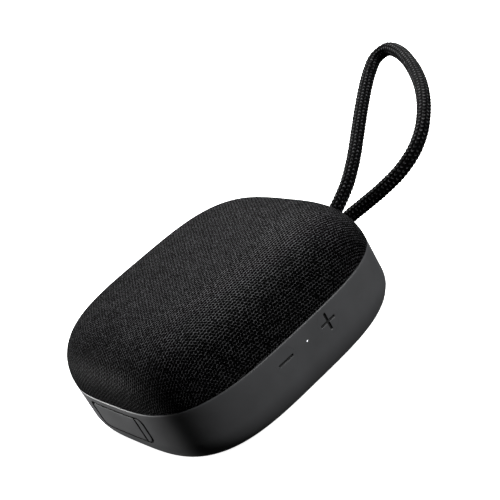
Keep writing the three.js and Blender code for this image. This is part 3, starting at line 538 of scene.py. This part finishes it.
BAND = band_material()
FABRIC = fabric_material()
ROPE = rope_material()
SHELL = moulded("moulded_shell", (0.013, 0.013, 0.014), (0.023, 0.023, 0.025), 0.5, 7.0, 0.05, 0.5)
FOOT = moulded("foot_rubber", (0.009, 0.009, 0.009), (0.017, 0.017, 0.017), 0.75, 11.0, 0.03, 0.5)
STEEL = wound_material("plated_steel", (0.30, 0.31, 0.33), (0.62, 0.63, 0.65), "Z", 0.35, 0.32, 1.0)
LIGHT = light_material()
SLOT_LOOKS = {
    "fabric": FABRIC,
    "band_rubber": BAND,
    "shell_plastic": SHELL,
    "foot_rubber": FOOT,
    "rope": ROPE,
    "frame_plastic": moulded(
        "frame_plastic", (0.010, 0.010, 0.011), (0.020, 0.020, 0.022), 0.55, 6.0, 0.04, 0.5),
    "foam": moulded("closed_foam", (0.02, 0.02, 0.02), (0.07, 0.07, 0.07), 0.95, 2.6, 0.2, 0.9),
    "steel": STEEL,
    "ferrite": moulded("ferrite", (0.025, 0.025, 0.027), (0.06, 0.06, 0.065), 0.6, 4.0, 0.06, 0.6, 0.2),
    "cone_paper": moulded(
        "pressed_paper", (0.008, 0.008, 0.009), (0.028, 0.028, 0.030), 0.85, 1.9, 0.15, 0.8),
    "spider_cloth": cloth_material("spider_cloth", (0.25, 0.14, 0.04), (0.60, 0.38, 0.14), 0.5),
    "copper": wound_material("wound_copper", (0.35, 0.13, 0.06), (0.85, 0.42, 0.24), "Z", 0.22, 0.3, 1.0),
    "circuit_board": board_material(),
    "chip": moulded("chip_epoxy", (0.010, 0.010, 0.011), (0.022, 0.022, 0.024), 0.4, 8.0, 0.02, 0.4),
    "cell_wrap": wound_material("cell_wrap", (0.02, 0.13, 0.36), (0.03, 0.20, 0.52), "Y", 6.0, 0.3, 0.0),
    "lens": LIGHT,
    "lead_wire": wound_material(
        "lead_wire", (0.25, 0.012, 0.012), (0.45, 0.03, 0.03), "DIAGONAL", 0.9, 0.45, 0.0),
}


def place(piece, body, slot, *nodes):
    """Gives the piece its material and its body, and hides the CAD nodes it stands for."""
    piece.data.materials.clear()
    piece.data.materials.append(SLOT_LOOKS[slot])
    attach(piece, body)
    if nodes:
        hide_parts(*nodes)
    return piece


# ---------------------------------------------------------------- the hang loop

ROOT_REACH = (GLAND_REACH + GAP) * math.cos(ROPE_PITCH)
# The cord's middle, as [out from the end wall, y], the same as in the CAD source. The seen points were
# worked out by a scratch program from the photograph's cord and then rounded. They weren't chosen by hand.
LOOP_ROUTE = [
    (ROOT_REACH, ROPE_EXIT_Y), (ROOT_REACH + 3, ROPE_EXIT_Y), (14, 2.6), (21, 2.7), (30, 5.4), (41, 10.6),
    (49.5, 14.9), (58, 19), (66, 22.3), (72, 23.3), (75.8, 19.8), (74.4, 12), (68.6, 1), (61.4, -8.8),
    (54.8, -15.5), (48, -20.5), (40.5, -24), (33.5, -24.8), (26.5, -22.6), (20, -17.6), (14, -11.2),
    (9.6, -6.2), (ROOT_REACH + 3, -ROPE_EXIT_Y), (ROOT_REACH, -ROPE_EXIT_Y),
]


def loop_point(out, y):
    """A point of the route, out from the end wall, at its height on the loop's low arch."""
    rise = math.tan(ROPE_PITCH)
    droop = (rise - math.tan(ROPE_TIP_PITCH)) / (2 * LOOP_REACH)
    return np.array([HALF_LENGTH + out, y, ROPE_EXIT_Z + rise * out - droop * out * out])


def smooth_curve(points, steps=40):
    """A centripetal Catmull-Rom curve through the points."""
    points = [2 * points[0] - points[1], *points, 2 * points[-1] - points[-2]]
    made = []
    for p0, p1, p2, p3 in zip(points, points[1:], points[2:], points[3:]):
        d0, d1, d2 = (np.linalg.norm(b - a) ** 0.5 for a, b in ((p0, p1), (p1, p2), (p2, p3)))
        t1 = ((p1 - p0) / d0 - (p2 - p0) / (d0 + d1) + (p2 - p1) / d1) * d1
        t2 = ((p2 - p1) / d1 - (p3 - p1) / (d1 + d2) + (p3 - p2) / d2) * d1
        for t in np.arange(steps) / steps:
            bend = (2 * p1 - 2 * p2 + t1 + t2) * t**3 + (-3 * p1 + 3 * p2 - 2 * t1 - t2) * t**2
            made.append(bend + t1 * t + p1)
    return np.array([*made, points[-2]])


def evenly(line, step):
    """The line's points again, evenly spaced, and its length."""
    run = np.concatenate([[0], np.cumsum(np.linalg.norm(np.diff(line, axis=0), axis=1))])
    count = round(run[-1] / step)
    along = np.linspace(0, run[-1], count + 1)
    return np.stack([np.interp(along, run, line[:, k]) for k in range(3)], axis=1), run[-1]


def make_rope():
    """A tube whose surface carries columns of slanted stitches."""
    columns, around, step, stitch = 10, 70, 0.34, 1.55
    proud, relief, slant, base, swell = 0.24, 0.46, 0.85, 0.42, 0.58
    line, length = evenly(smooth_curve([loop_point(*p) for p in LOOP_ROUTE]), step)
    tangents = np.gradient(line, axis=0)
    tangents /= np.linalg.norm(tangents, axis=1)[:, None]
    side = np.cross(tangents[0], (0, 0, 1))
    theta = np.arange(around) / around * 2 * math.pi
    within = (np.arange(around) / around * columns) % 1 - 0.5
    column = np.floor(np.arange(around) / around * columns)
    rings, crests = [], []
    for k, (point, tangent) in enumerate(zip(line, tangents)):
        side = side - tangent * (side @ tangent)
        side /= np.linalg.norm(side)
        other = np.cross(tangent, side)
        phase = k * length / (len(line) - 1) / stitch + slant * np.abs(within) + 0.5 * (column % 2)
        lobe = np.abs(np.cos(math.pi * within)) ** 0.6
        crest = lobe * (base + swell * (0.5 + 0.5 * np.cos(2 * math.pi * phase)) ** 0.7)
        radius = ROPE_DIAMETER / 2 + proud - relief * (1 - crest)
        outward = np.cos(theta)[:, None] * side + np.sin(theta)[:, None] * other
        rings.append(point + radius[:, None] * outward)
        crests.append(lobe ** 0.5 * (0.5 + 0.5 * np.cos(2 * math.pi * phase)))
    rope = loft("hang_loop_braid", rings, smooth=80.0)
    # The material paints highlights on these crests and shade in the grooves between them.
    rope.data.attributes.new("crest", "FLOAT", "POINT").data.foreach_set(
        "value", np.concatenate(crests).astype(np.float32))
    place(rope, "casing", "rope", "hang_loop")
    return rope, line, length


def make_gland():
    """The rubber boot that both strands leave through, with a soft collar round each."""
    cos, sin = math.cos(ROPE_PITCH), math.sin(ROPE_PITCH)

    def section(out, shrink):
        rim = rounded_rectangle(GLAND_WIDTH / 2 - shrink, GLAND_HEIGHT / 2 - shrink, 2.8 - shrink, 10)
        return [(HALF_LENGTH + out * cos - z * sin, y, ROPE_EXIT_Z + out * sin + z * cos) for y, z in rim]

    edge = [(GLAND_REACH - 1 + math.sin(a), 1 - math.cos(a)) for a in np.linspace(0, math.pi / 2, 7)]
    gland = loft("loop_gland_boot", [section(-GLAND_DEPTH, 0), section(0, 0), *(section(*e) for e in edge)])
    bores = []
    for y in (-ROPE_EXIT_Y, ROPE_EXIT_Y):
        start, end = ((HALF_LENGTH + out * cos, y, ROPE_EXIT_Z + out * sin)
                      for out in (GLAND_REACH - 0.8, GLAND_REACH + 2))
        bores.append(bar(start, end, ROPE_DIAMETER / 2 + 0.35))
    combine(gland, bores)
    return place(gland, "casing", "foot_rubber", "loop_gland")


rope, rope_line, rope_length = make_rope()
gland = make_gland()

# ---------------------------------------------------------------- the fabric front


def dome_profile(inset, count):
    """The front's section from the band to near the axis, evenly spaced: insets, heights and lengths run."""
    angle = np.linspace(0, math.pi / 2, 4001)
    reach, rise = np.cos(angle) ** (2 / DOME_POWER), np.sin(angle)
    edge = (HALF_WIDTH - inset) * (1 - reach) + inset
    z = BAND_TOP + GAP + (HEIGHT - inset - BAND_TOP - GAP) * rise
    run = np.concatenate([[0], np.cumsum(np.hypot(np.diff(edge), np.diff(z)))])
    keep = np.linspace(0, 0.985, count) * run[-1]
    return np.interp(keep, run, edge), np.interp(keep, run, z), keep


def make_fabric():
    """The stretched mesh cloth, with its lower edge turned in under itself."""
    outer_edge, outer_z, _ = dome_profile(0, 72)
    inner_edge, inner_z, _ = dome_profile(FABRIC_WALL, 26)
    half = FABRIC_WALL / 2
    hem = [(half - half * math.cos(a), BAND_TOP + GAP + half - half * math.sin(a) - 0.22)
           for a in np.linspace(math.pi, 0, 9)]
    inner = [(e, z) for e, z in zip(inner_edge[::-1], inner_z[::-1]) if z > BAND_TOP + GAP + half]
    outer = [(e, z) for e, z in zip(outer_edge, outer_z) if z > BAND_TOP + GAP + half]
    profile = [(HALF_LENGTH, HEIGHT - FABRIC_WALL), *inner, *hem, *outer, (HALF_LENGTH, HEIGHT)]
    fabric = outlined("fabric_front", profile, smooth=70.0)
    mesh = fabric.data
    co = np.array([v.co for v in mesh.vertices]) / MM
    table_edge, table_z, table_run = dome_profile(0, 400)
    flat_run = HALF_WIDTH - table_edge
    spare = (table_run[-1] - table_run) - (flat_run - flat_run[-1])
    extra = np.interp(co[:, 2], table_z, spare)
    power = OUTLINE_POWER - 1
    reach = np.maximum(np.abs(co[:, 0] / HALF_LENGTH), np.abs(co[:, 1] / HALF_WIDTH)) + 1e-6
    nx = np.sign(co[:, 0]) * (np.abs(co[:, 0] / HALF_LENGTH) / reach) ** power / HALF_LENGTH
    ny = np.sign(co[:, 1]) * (np.abs(co[:, 1] / HALF_WIDTH) / reach) ** power / HALF_WIDTH
    size = np.hypot(nx, ny) + 1e-9
    uv = co[:, :2] + extra[:, None] * np.stack([nx / size, ny / size], axis=1)
    # The "crown" height drives painted shade in the cloth's material: lower down the dome the threads are
    # painted darker.
    crown = (co[:, 2] - BAND_TOP) / (HEIGHT - BAND_TOP)
    mesh.attributes.new("crown", "FLOAT", "POINT").data.foreach_set("value", crown.astype(np.float32))
    corner = np.array([loop.vertex_index for loop in mesh.loops])
    mesh.uv_layers.new(name="weave").data.foreach_set("uv", uv[corner].astype(np.float32).ravel())
    return place(fabric, "casing", "fabric", "fabric_grille")


fabric = make_fabric()

# ---------------------------------------------------------------- the rubber band and its buttons

KEYS = [("volume_up", KEY_SPACING, -1), ("volume_down", -KEY_SPACING, -1),
        ("play", KEY_SPACING, 1), ("power", -KEY_SPACING, 1)]
BAND_LIP, SHELL_STEP = 46, 48.5


def gland_prism(start, end, spare):
    """The hole for the gland, along the slope at which the strands leave."""
    cos, sin = math.cos(ROPE_PITCH), math.sin(ROPE_PITCH)
    rim = rounded_rectangle(GLAND_WIDTH / 2 + spare, GLAND_HEIGHT / 2 + spare, 3.0)
    return loft("cutter", [
        [(HALF_LENGTH + out * cos - z * sin, y, ROPE_EXIT_Z + out * sin + z * cos) for y, z in rim]
        for out in (start, end)])


def paint_gap_shade(piece, whole=False):
    """Marks the walls of the groove round the door, or a whole piece in it, for painted shade: they hold no
    light, so the material paints them black.
    """
    darkest = 1.15  # over 1, so that the walls come out blacker than the marks
    mesh = piece.data
    sunk = np.zeros(len(mesh.loops), np.float32)
    for face in mesh.polygons:
        x, y, z = face.center / MM
        in_opening = abs(y) < PORT_HALF_WIDTH + 2 * PORT_GROOVE and PORT_BOTTOM - 1 < z < PORT_TOP + 1
        if whole or x < 4 - HALF_LENGTH and in_opening and abs(face.normal.x) < 0.3:
            sunk[list(face.loop_indices)] = darkest
    mesh.attributes.new("sunk", "FLOAT", "CORNER").data.foreach_set("value", sunk)


def make_band():
    """The rubber skin round the four sides, with holes for the keys, the light, the door and the gland."""
    lip, light_hole = 0.45, 0.34
    top = [(lip - lip * math.cos(a), BAND_TOP - lip + lip * math.sin(a))
           for a in np.linspace(0, math.pi / 2, 7)]
    side = [(0, z) for z in np.linspace(BACK_ROUND, BAND_TOP - lip, 9)[1:-1]]
    profile = [
        *back_arc(BACK_ROUND, BAND_LIP, 0, 14), *side, *top, (BAND_WALL, BAND_TOP),
        *back_arc(BACK_ROUND - BAND_WALL, 0, BAND_LIP, 8),
    ]
    band = outlined("side_band_skin", profile)
    cutters = [
        bar((x, s * (HALF_WIDTH + 1), KEY_HEIGHT), (x, s * (HALF_WIDTH - 4), KEY_HEIGHT),
            KEY_RADIUS + HAIR, 288)
        for _, x, s in KEYS
    ]
    cutters.append(bar((0, -HALF_WIDTH - 1, KEY_HEIGHT), (0, 4 - HALF_WIDTH, KEY_HEIGHT), light_hole, 32))
    cutters.append(port_prism(-HALF_LENGTH - 2, 4 - HALF_LENGTH, PORT_GROOVE))
    cutters.append(gland_prism(-8, 8, 0.12))
    combine(band, cutters)
    # Painted shade on the walls of the opening round the door.
    paint_gap_shade(band)
    return place(band, "casing", "band_rubber", "side_band")


def rounded_box_distance(x, z, half_x, half_z, corner=0.18):
    """How far a point is from a rectangle with round corners, negative inside."""
    dx, dz = np.abs(x) - half_x + corner, np.abs(z) - half_z + corner
    outside = np.hypot(np.maximum(dx, 0), np.maximum(dz, 0))
    return outside + np.minimum(np.maximum(dx, dz), 0) - corner


def mark_distance(name, x, z):
    """How far a point of the button's face is from its mark, negative inside."""
    half, stroke = MARK_LENGTH / 2, MARK_STROKE / 2
    if name == "play":
        normal = Vector((0.8 * half, 1.4 * half)).normalized()
        slope = (x - 0.8 * half) * normal[0] + np.abs(z) * normal[1]
        return np.maximum(slope, -x - 0.6 * half)
    if name == "power":
        radius = np.hypot(x, z)
        ring = np.abs(radius - half + stroke) - stroke
        ring = np.maximum(ring, -rounded_box_distance(x, z - half, 1.3, half, 0.01))
        return np.minimum(ring, rounded_box_distance(x, z - half / 2, stroke, half / 2))
    across = rounded_box_distance(x, z, half, stroke)
    if name == "volume_down":
        return across
    return np.minimum(across, rounded_box_distance(x, z, stroke, half))


def side_at(x):
    """How far out the long side lies at x, above the rounded edge."""
    return HALF_WIDTH * (1 - np.abs(x / HALF_LENGTH) ** OUTLINE_POWER) ** (1 / OUTLINE_POWER)


def make_key(name, middle, side, cells=76):
    """A button: a cap whose face follows the band's side, with a debossed mark, and a stem behind it."""
    a, b = np.meshgrid(np.linspace(-1, 1, cells + 1), np.linspace(-1, 1, cells + 1), indexing="ij")
    u, v = a * np.sqrt(1 - b * b / 2), b * np.sqrt(1 - a * a / 2)
    mix = np.maximum(np.abs(a), np.abs(b)) ** 6
    square = 0.7  # the middle of the grid is a square this large, well inside the round rim
    x = KEY_RADIUS * ((1 - mix) * a * square + mix * u)
    z = KEY_RADIUS * ((1 - mix) * b * square + mix * v)
    wall_start, wall_width = 0.07, 0.2
    inside = np.clip((wall_start - mark_distance(name, x, z)) / wall_width, 0, 1)
    sunk = MARK_DEPTH * inside * inside * (3 - 2 * inside)
    face = side_at(middle + x) - sunk
    front = np.stack([middle + x, side * face, KEY_HEIGHT + z], axis=-1).reshape(-1, 3)
    n = cells + 1
    faces = [(i * n + j, (i + 1) * n + j, (i + 1) * n + j + 1, i * n + j + 1)
             for i in range(cells) for j in range(cells)]
    rim = [i * n for i in range(cells)] + [cells * n + j for j in range(cells)]
    rim += [(cells - i) * n + cells for i in range(cells)] + [cells - j for j in range(cells)]
    back = front[rim].copy()
    back[:, 1] = side * (HALF_WIDTH - KEY_CAP)
    base = len(front)
    for k in range(len(rim)):
        after = (k + 1) % len(rim)
        faces.append((rim[k], rim[after], base + after, base + k))
    faces.append(tuple(range(base, base + len(rim))))
    cap = mesh_piece(name + "_key", np.concatenate([front, back]), faces, 60.0)
    # Painted shade: the "sunk" attribute has the material paint the mark's recess darker the deeper it lies.
    depth = np.concatenate([(sunk / MARK_DEPTH).ravel(), np.zeros(len(back))])
    cap.data.attributes.new("sunk", "FLOAT", "POINT").data.foreach_set("value", depth.astype(np.float32))
    near, far = HALF_WIDTH - KEY_CAP + 0.2, HALF_WIDTH - KEY_STEM_END
    stem = bar((middle, side * near, KEY_HEIGHT), (middle, side * far, KEY_HEIGHT), KEY_STEM, 40)
    join(cap, [stem])
    return place(cap, name + "_key", "band_rubber", name + "_button")


def make_light():
    """The light pipe's end: a small domed lens just under the band's surface."""
    tip, flange, flange_start, end = 0.31, 1.1, 4.6, 6.1
    profile = [(0, 0.02), (0.14, 0.04), (0.24, 0.1), (0.3, 0.22), (tip, flange_start), (flange, flange_start),
               (flange, end), (0, end)]
    lens = turned("status_lens", profile, 40)
    turn = Matrix.Translation((0, -HALF_WIDTH * MM, KEY_HEIGHT * MM)) @ Matrix.Rotation(-math.pi / 2, 4, "X")
    lens.data.transform(turn)
    return place(lens, "casing", "lens", "led_light_pipe")


make_band()
for key in KEYS:
    make_key(*key)
make_light()

# ---------------------------------------------------------------- the port door


def end_at(y):
    """How far out the end wall lies at y, above the rounded edge."""
    return HALF_LENGTH * (1 - np.abs(y / HALF_WIDTH) ** OUTLINE_POWER) ** (1 / OUTLINE_POWER)


def end_plate(name, y0, y1, rows=12, spacing=0.6):
    """A plate that fills the port opening between y0 and y1, flush with the end wall."""
    half_width, half = PORT_HALF_WIDTH, (PORT_TOP - PORT_BOTTOM) / 2
    middle = (PORT_TOP + PORT_BOTTOM) / 2
    bends = [s * (half_width - PORT_CORNER + PORT_CORNER * math.sin(a))
             for s in (-1, 1) for a in np.linspace(0, math.pi / 2, 9)]
    ys = sorted({round(y, 4) for y in [*np.arange(y0, y1, spacing), y0, y1, *bends] if y0 <= y <= y1})
    front = []
    for y in ys:
        past = max(abs(y) - (half_width - PORT_CORNER), 0)
        reach = half - PORT_CORNER + math.sqrt(max(PORT_CORNER**2 - past**2, 0))
        front += [(-end_at(y), y, middle + reach * t) for t in np.linspace(-1, 1, rows)]
    back = [(DOOR_WALL - HALF_LENGTH, y, z) for _, y, z in front]
    count, columns = len(front), len(ys)
    faces = []
    for i in range(columns - 1):
        for j in range(rows - 1):
            quad = (i * rows + j, (i + 1) * rows + j, (i + 1) * rows + j + 1, i * rows + j + 1)
            faces += [quad, tuple(count + q for q in quad)[::-1]]
    rim = [i * rows for i in range(columns)] + [(columns - 1) * rows + j for j in range(1, rows)]
    rim += [i * rows + rows - 1 for i in range(columns - 2, -1, -1)] + list(range(rows - 2, 0, -1))
    for a, b in zip(rim, rim[1:] + rim[:1]):
        faces.append((a, b, count + b, count + a))
    plate = soften(mesh_piece(name, [*front, *back], faces), 0.2, 55.0, 3)
    # Painted shade on the plate's edge walls in the groove.
    paint_gap_shade(plate)
    return plate


def make_door():
    """The door's flap, with the sealing rim behind it that fits into the port pocket."""
    door = end_plate("port_door_flap", PORT_FOLD + 0.2 + PORT_FOLD_GROOVE / 2, PORT_HALF_WIDTH)
    (y0, y1), (z0, z1), wall = RIB["y"], RIB["z"], RIB["wall"]
    root, tip = DOOR_WALL - HALF_LENGTH - 0.2, RIB["depth"] - HALF_LENGTH
    middle, centre = (z0 + z1) / 2, (y0 + y1) / 2

    def rim(x, shrink, corner):
        ring = rounded_rectangle((y1 - y0) / 2 - shrink, (z1 - z0) / 2 - shrink, corner)
        return [(x, centre + y, middle + z) for y, z in ring]

    seal = loft("rib", [rim(root, 0, 1.4), rim(tip - 0.3, 0, 1.4), rim(tip, 0.3, 1.1)])
    combine(seal, [loft("cutter", [rim(root + 0.25, wall, 0.6), rim(tip + 1, wall, 0.6)])])
    join(door, [seal])
    return place(door, "door", "band_rubber", "port_door")


def make_hinge():
    """The fixed tab, and the thin web of the living hinge that crosses the fold."""
    tab = end_plate("port_hinge_plate", -PORT_HALF_WIDTH, PORT_FOLD - 0.1 - PORT_FOLD_GROOVE / 2)
    place(tab, "casing", "band_rubber", "port_hinge_tab")
    half, inset, thick, dip, short = 0.7, 1.15, 0.3, 0.12, 0.35
    rings = []
    for y in np.linspace(PORT_FOLD - half, PORT_FOLD + half, 13):
        out = -HALF_LENGTH + inset + dip * math.cos((y - PORT_FOLD) / half * math.pi / 2)
        low, high = PORT_BOTTOM + short, PORT_TOP - short
        rings.append([(out, y, low), (out, y, high), (out + thick, y, high), (out + thick, y, low)])
    web = loft("port_hinge_web", rings, 50.0)
    web.data.materials.append(BAND)
    # Painted shade: the whole web is painted black, as it lies in the groove.
    paint_gap_shade(web, whole=True)
    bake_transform(web)


make_door()
make_hinge()

# ---------------------------------------------------------------- the back


def make_shell():
    """The tub behind the band, with its port pocket, screw bosses and holes."""
    boss, screw_hole, screw_head, key_hole, light_hole, aux_hole = 4, 1.55, 2.9, 1.9, 0.75, 2.9
    step = BACK_ROUND - BAND_WALL - GAP
    edge = math.degrees(math.asin((BACK_ROUND - BACK_FACE) / BACK_ROUND))
    inset = BAND_WALL + GAP
    profile = [
        (HALF_LENGTH, BACK_FACE), *[(i, BACK_FACE) for i in (36, 26, 18)],
        *back_arc(BACK_ROUND, edge, SHELL_STEP, 8), *back_arc(step, SHELL_STEP, 0, 10), (inset, RIM_TOP),
        (inset + SHELL_WALL, RIM_TOP), *back_arc(step - SHELL_WALL, 0, 60, 8), (BACK_ROUND - 1, FLOOR_TOP),
        *[(i, FLOOR_TOP) for i in (18, 26, 36)], (HALF_LENGTH, FLOOR_TOP),
    ]
    shell = outlined("rear_shell_tub", profile)
    (y0, y1), (z0, z1), wall = POCKET["y"], POCKET["z"], POCKET["wall"]
    back = POCKET["floor"] - HALF_LENGTH
    parts = [box((3 - HALF_LENGTH, y0 - wall, z0 - wall), (back + wall, y1 + wall, z1 + wall))]
    parts += [bar((x, y, FLOOR_TOP - 0.5), (x, y, FLOOR_TOP + 2), boss, 40) for x, y in SCREW_PLACES]
    combine(shell, parts, "UNION")
    cutters = [box((-HALF_LENGTH, y0, z0), (back, y1, z1)), gland_prism(-8, 4, 0.3)]
    cutters += [bar((x, y, -1), (x, y, FLOOR_TOP + 3), screw_hole, 32) for x, y in SCREW_PLACES]
    cutters += [bar((x, y, -1), (x, y, 2.8), screw_head, 48) for x, y in SCREW_PLACES]
    cutters += [bar((x, s * HALF_WIDTH, KEY_HEIGHT), (x, s * (HALF_WIDTH - 5), KEY_HEIGHT), key_hole, 32)
                for _, x, s in KEYS]
    cutters.append(bar((0, -HALF_WIDTH, KEY_HEIGHT), (0, 5 - HALF_WIDTH, KEY_HEIGHT), light_hole, 24))
    cutters.append(bar((0, 0, -1), (0, 0, FLOOR_TOP + 1), RADIATOR_HOLE, 96))
    inner, outer, depth = PAD_INNER - 0.15, PAD_OUTER + 0.15, 1.8
    groove = [(inner, -1), (outer, -1), (outer, depth), (inner, depth)]
    cutters.append(turned("cutter", groove, 128))
    usb = rounded_rectangle(4.8, 1.9, 1.7)
    cutters.append(loft("cutter", [[(x, USB_Y + y, SOCKET_HEIGHT + z) for y, z in usb]
                                   for x in (back - 1, back + wall + 1)]))
    start, end = ((x, AUX_Y, SOCKET_HEIGHT) for x in (back - 1, back + wall + 1))
    cutters.append(bar(start, end, aux_hole, 48))
    combine(shell, cutters)
    return place(shell, "casing", "shell_plastic", "rear_shell")


def make_foot():
    """The foot ring, with rounded edges and fine ribs on the face it stands on."""
    top, edge = 1.4, 0.5
    profile = [(PAD_INNER, top), (PAD_INNER, edge)]
    profile += [(PAD_INNER + edge - edge * math.cos(a), edge - edge * math.sin(a))
                for a in (0.4, 0.8, 1.2, 1.57)]
    for radius in np.arange(PAD_INNER + 1.2, PAD_OUTER - 1.0, 0.9):
        profile += [(radius, 0.0), (radius + 0.15, 0.25), (radius + 0.35, 0.25), (radius + 0.5, 0.0)]
    profile += [(PAD_OUTER - edge + edge * math.sin(a), edge - edge * math.cos(a))
                for a in (0, 0.4, 0.8, 1.2, 1.57)]
    profile += [(PAD_OUTER, top)]
    return place(turned("foot_ring", profile, 160), "casing", "foot_rubber", "base_pad")


def make_radiator():
    """The passive radiator: a weighted disc, and a rubber roll in two halves that meet at its crown."""
    low = 3.2
    profile = [
        (0, low + 0.6), (8.2, low + 0.6), (8.8, low + 0.5), (9.4, low + 0.15), (10.4, low), (14.9, low),
        (15.3, low + 0.1), (RADIATOR_DISC, low + 0.4), (RADIATOR_DISC, low + 1), (6, low + 1.8),
        (6, low + 2.6), (0, low + 2.6),
    ]
    for radius in (2.2, 4.4, 6.6):
        at = next(i for i, p in enumerate(profile) if p[0] > radius)
        profile[at:at] = [(radius - 0.3, low + 0.6), (radius, low + 0.35), (radius + 0.3, low + 0.6)]
    disc = turned("radiator_disc", profile, 128)
    place(disc, "passive_radiator", "shell_plastic", "radiator_diaphragm")
    inner, outer, base, height, wall = 16.1, 21.0, 3.4, 1.4, 0.6
    middle, half = (inner + outer) / 2, (outer - inner) / 2
    for name, sign, lip in (("inner", -1, 0.55), ("outer", 1, 0.5)):
        arc = [(middle + sign * half * math.cos(a), base + height * math.sin(a))
               for a in np.linspace(0, math.pi / 2, 12)]
        edge = middle + sign * (half + lip)
        section = [(edge, base), *arc, *[(r, z + wall) for r, z in arc[::-1]], (edge, base + wall)]
        roll = turned(f"radiator_roll_{name}", section, 128, 60.0)
        roll.data.materials.append(FOOT)
        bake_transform(roll)
        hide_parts("radiator_surround")


def make_screws():
    """The four case screws, with a cross recess and a thread of rings."""
    for number, (x, y) in enumerate(SCREW_PLACES, 1):
        profile = [(0, 1.25), (1.6, 1.2), (2.3, 1.08), (2.6, 1.3), (2.6, 1.6), (1.25, 2.5)]
        for z in np.arange(3.0, 14.0, 0.8):
            profile += [(1.25, z), (1.05, z + 0.4)]
        profile += [(1.0, 14.2), (0, 15)]
        screw = turned(f"case_screw_{number}_turned", profile, 48)
        cross = [((-1.5, -0.28), (1.5, 0.28)), ((-0.28, -1.5), (0.28, 1.5))]
        cutters = [box((a[0], a[1], 0), (b[0], b[1], 1.9)) for a, b in cross]
        combine(screw, cutters, smooth=35.0)
        screw.data.transform(Matrix.Translation((x * MM, y * MM, 0)))
        place(screw, "casing", "steel", f"case_screw_{number}")


make_shell()
make_foot()
make_radiator()
make_screws()

# ---------------------------------------------------------------- looks of the CAD nodes that stay

SLOT_OF = {part["node"]: part["material_slot"] for part in frame["record"]["subparts"]}
for name, cad in frame["nodes"].items():
    if cad.hide_render:
        continue
    look = SLOT_LOOKS[SLOT_OF[name]]
    if not cad.material_slots:
        cad.data.materials.append(look)
    for material_slot in cad.material_slots:
        material_slot.material = look

# ---------------------------------------------------------------- floor and light


def make_floor():
    """A pale floor that shines evenly and neither lights the object nor shows in it."""
    mesh = bpy.data.meshes.new("floor")
    size = 3.0
    corners = [(-size, -size, 0), (size, -size, 0), (size, size, 0), (-size, size, 0)]
    mesh.from_pydata(corners, [], [(0, 1, 2, 3)])
    floor = link("floor", mesh)
    material, _, shader, _ = start_material(
        "pale_floor", 0.9, Specular_IOR_Level=0.0, Emission_Strength=0.97)
    shader.inputs["Base Color"].default_value = (0.86, 0.86, 0.86, 1)
    shader.inputs["Emission Color"].default_value = (1, 1, 1, 1)
    mesh.materials.append(material)
    floor.visible_diffuse = False
    floor.visible_glossy = False


def softbox(name, azimuth, elevation, distance, size, power):
    """A rectangular light that faces the object from a direction in degrees."""
    aim = Vector((0.0, 0.0, 0.02))
    data = bpy.data.lights.new(name, "AREA")
    data.shape, data.size, data.size_y, data.energy = "RECTANGLE", size[0], size[1], power
    lamp = bpy.data.objects.new(name, data)
    bpy.context.scene.collection.objects.link(lamp)
    a, e = math.radians(azimuth), math.radians(elevation)
    back = Vector((math.cos(a) * math.cos(e), math.sin(a) * math.cos(e), math.sin(e)))
    lamp.location = aim + back * distance
    lamp.rotation_mode = "QUATERNION"
    lamp.rotation_quaternion = back.to_track_quat("Z", "Y")


def make_light_room():
    """A faint even sky and three softboxes."""
    world = bpy.data.worlds.new("studio")
    world.use_nodes = True
    background = next(n for n in world.node_tree.nodes if n.type == "BACKGROUND")
    background.inputs["Color"].default_value = (1, 1, 1, 1)
    background.inputs["Strength"].default_value = 0.015
    bpy.context.scene.world = world
    softbox("key_left", 122, 2, 1.2, (0.3, 0.2), 22)
    softbox("fill_right", -58, 30, 1.3, (0.4, 0.3), 17.5)
    softbox("top", 48, 42, 1.4, (0.5, 0.5), 60)


make_floor()
make_light_room()
bpy.context.scene.view_settings.view_transform = "Standard"
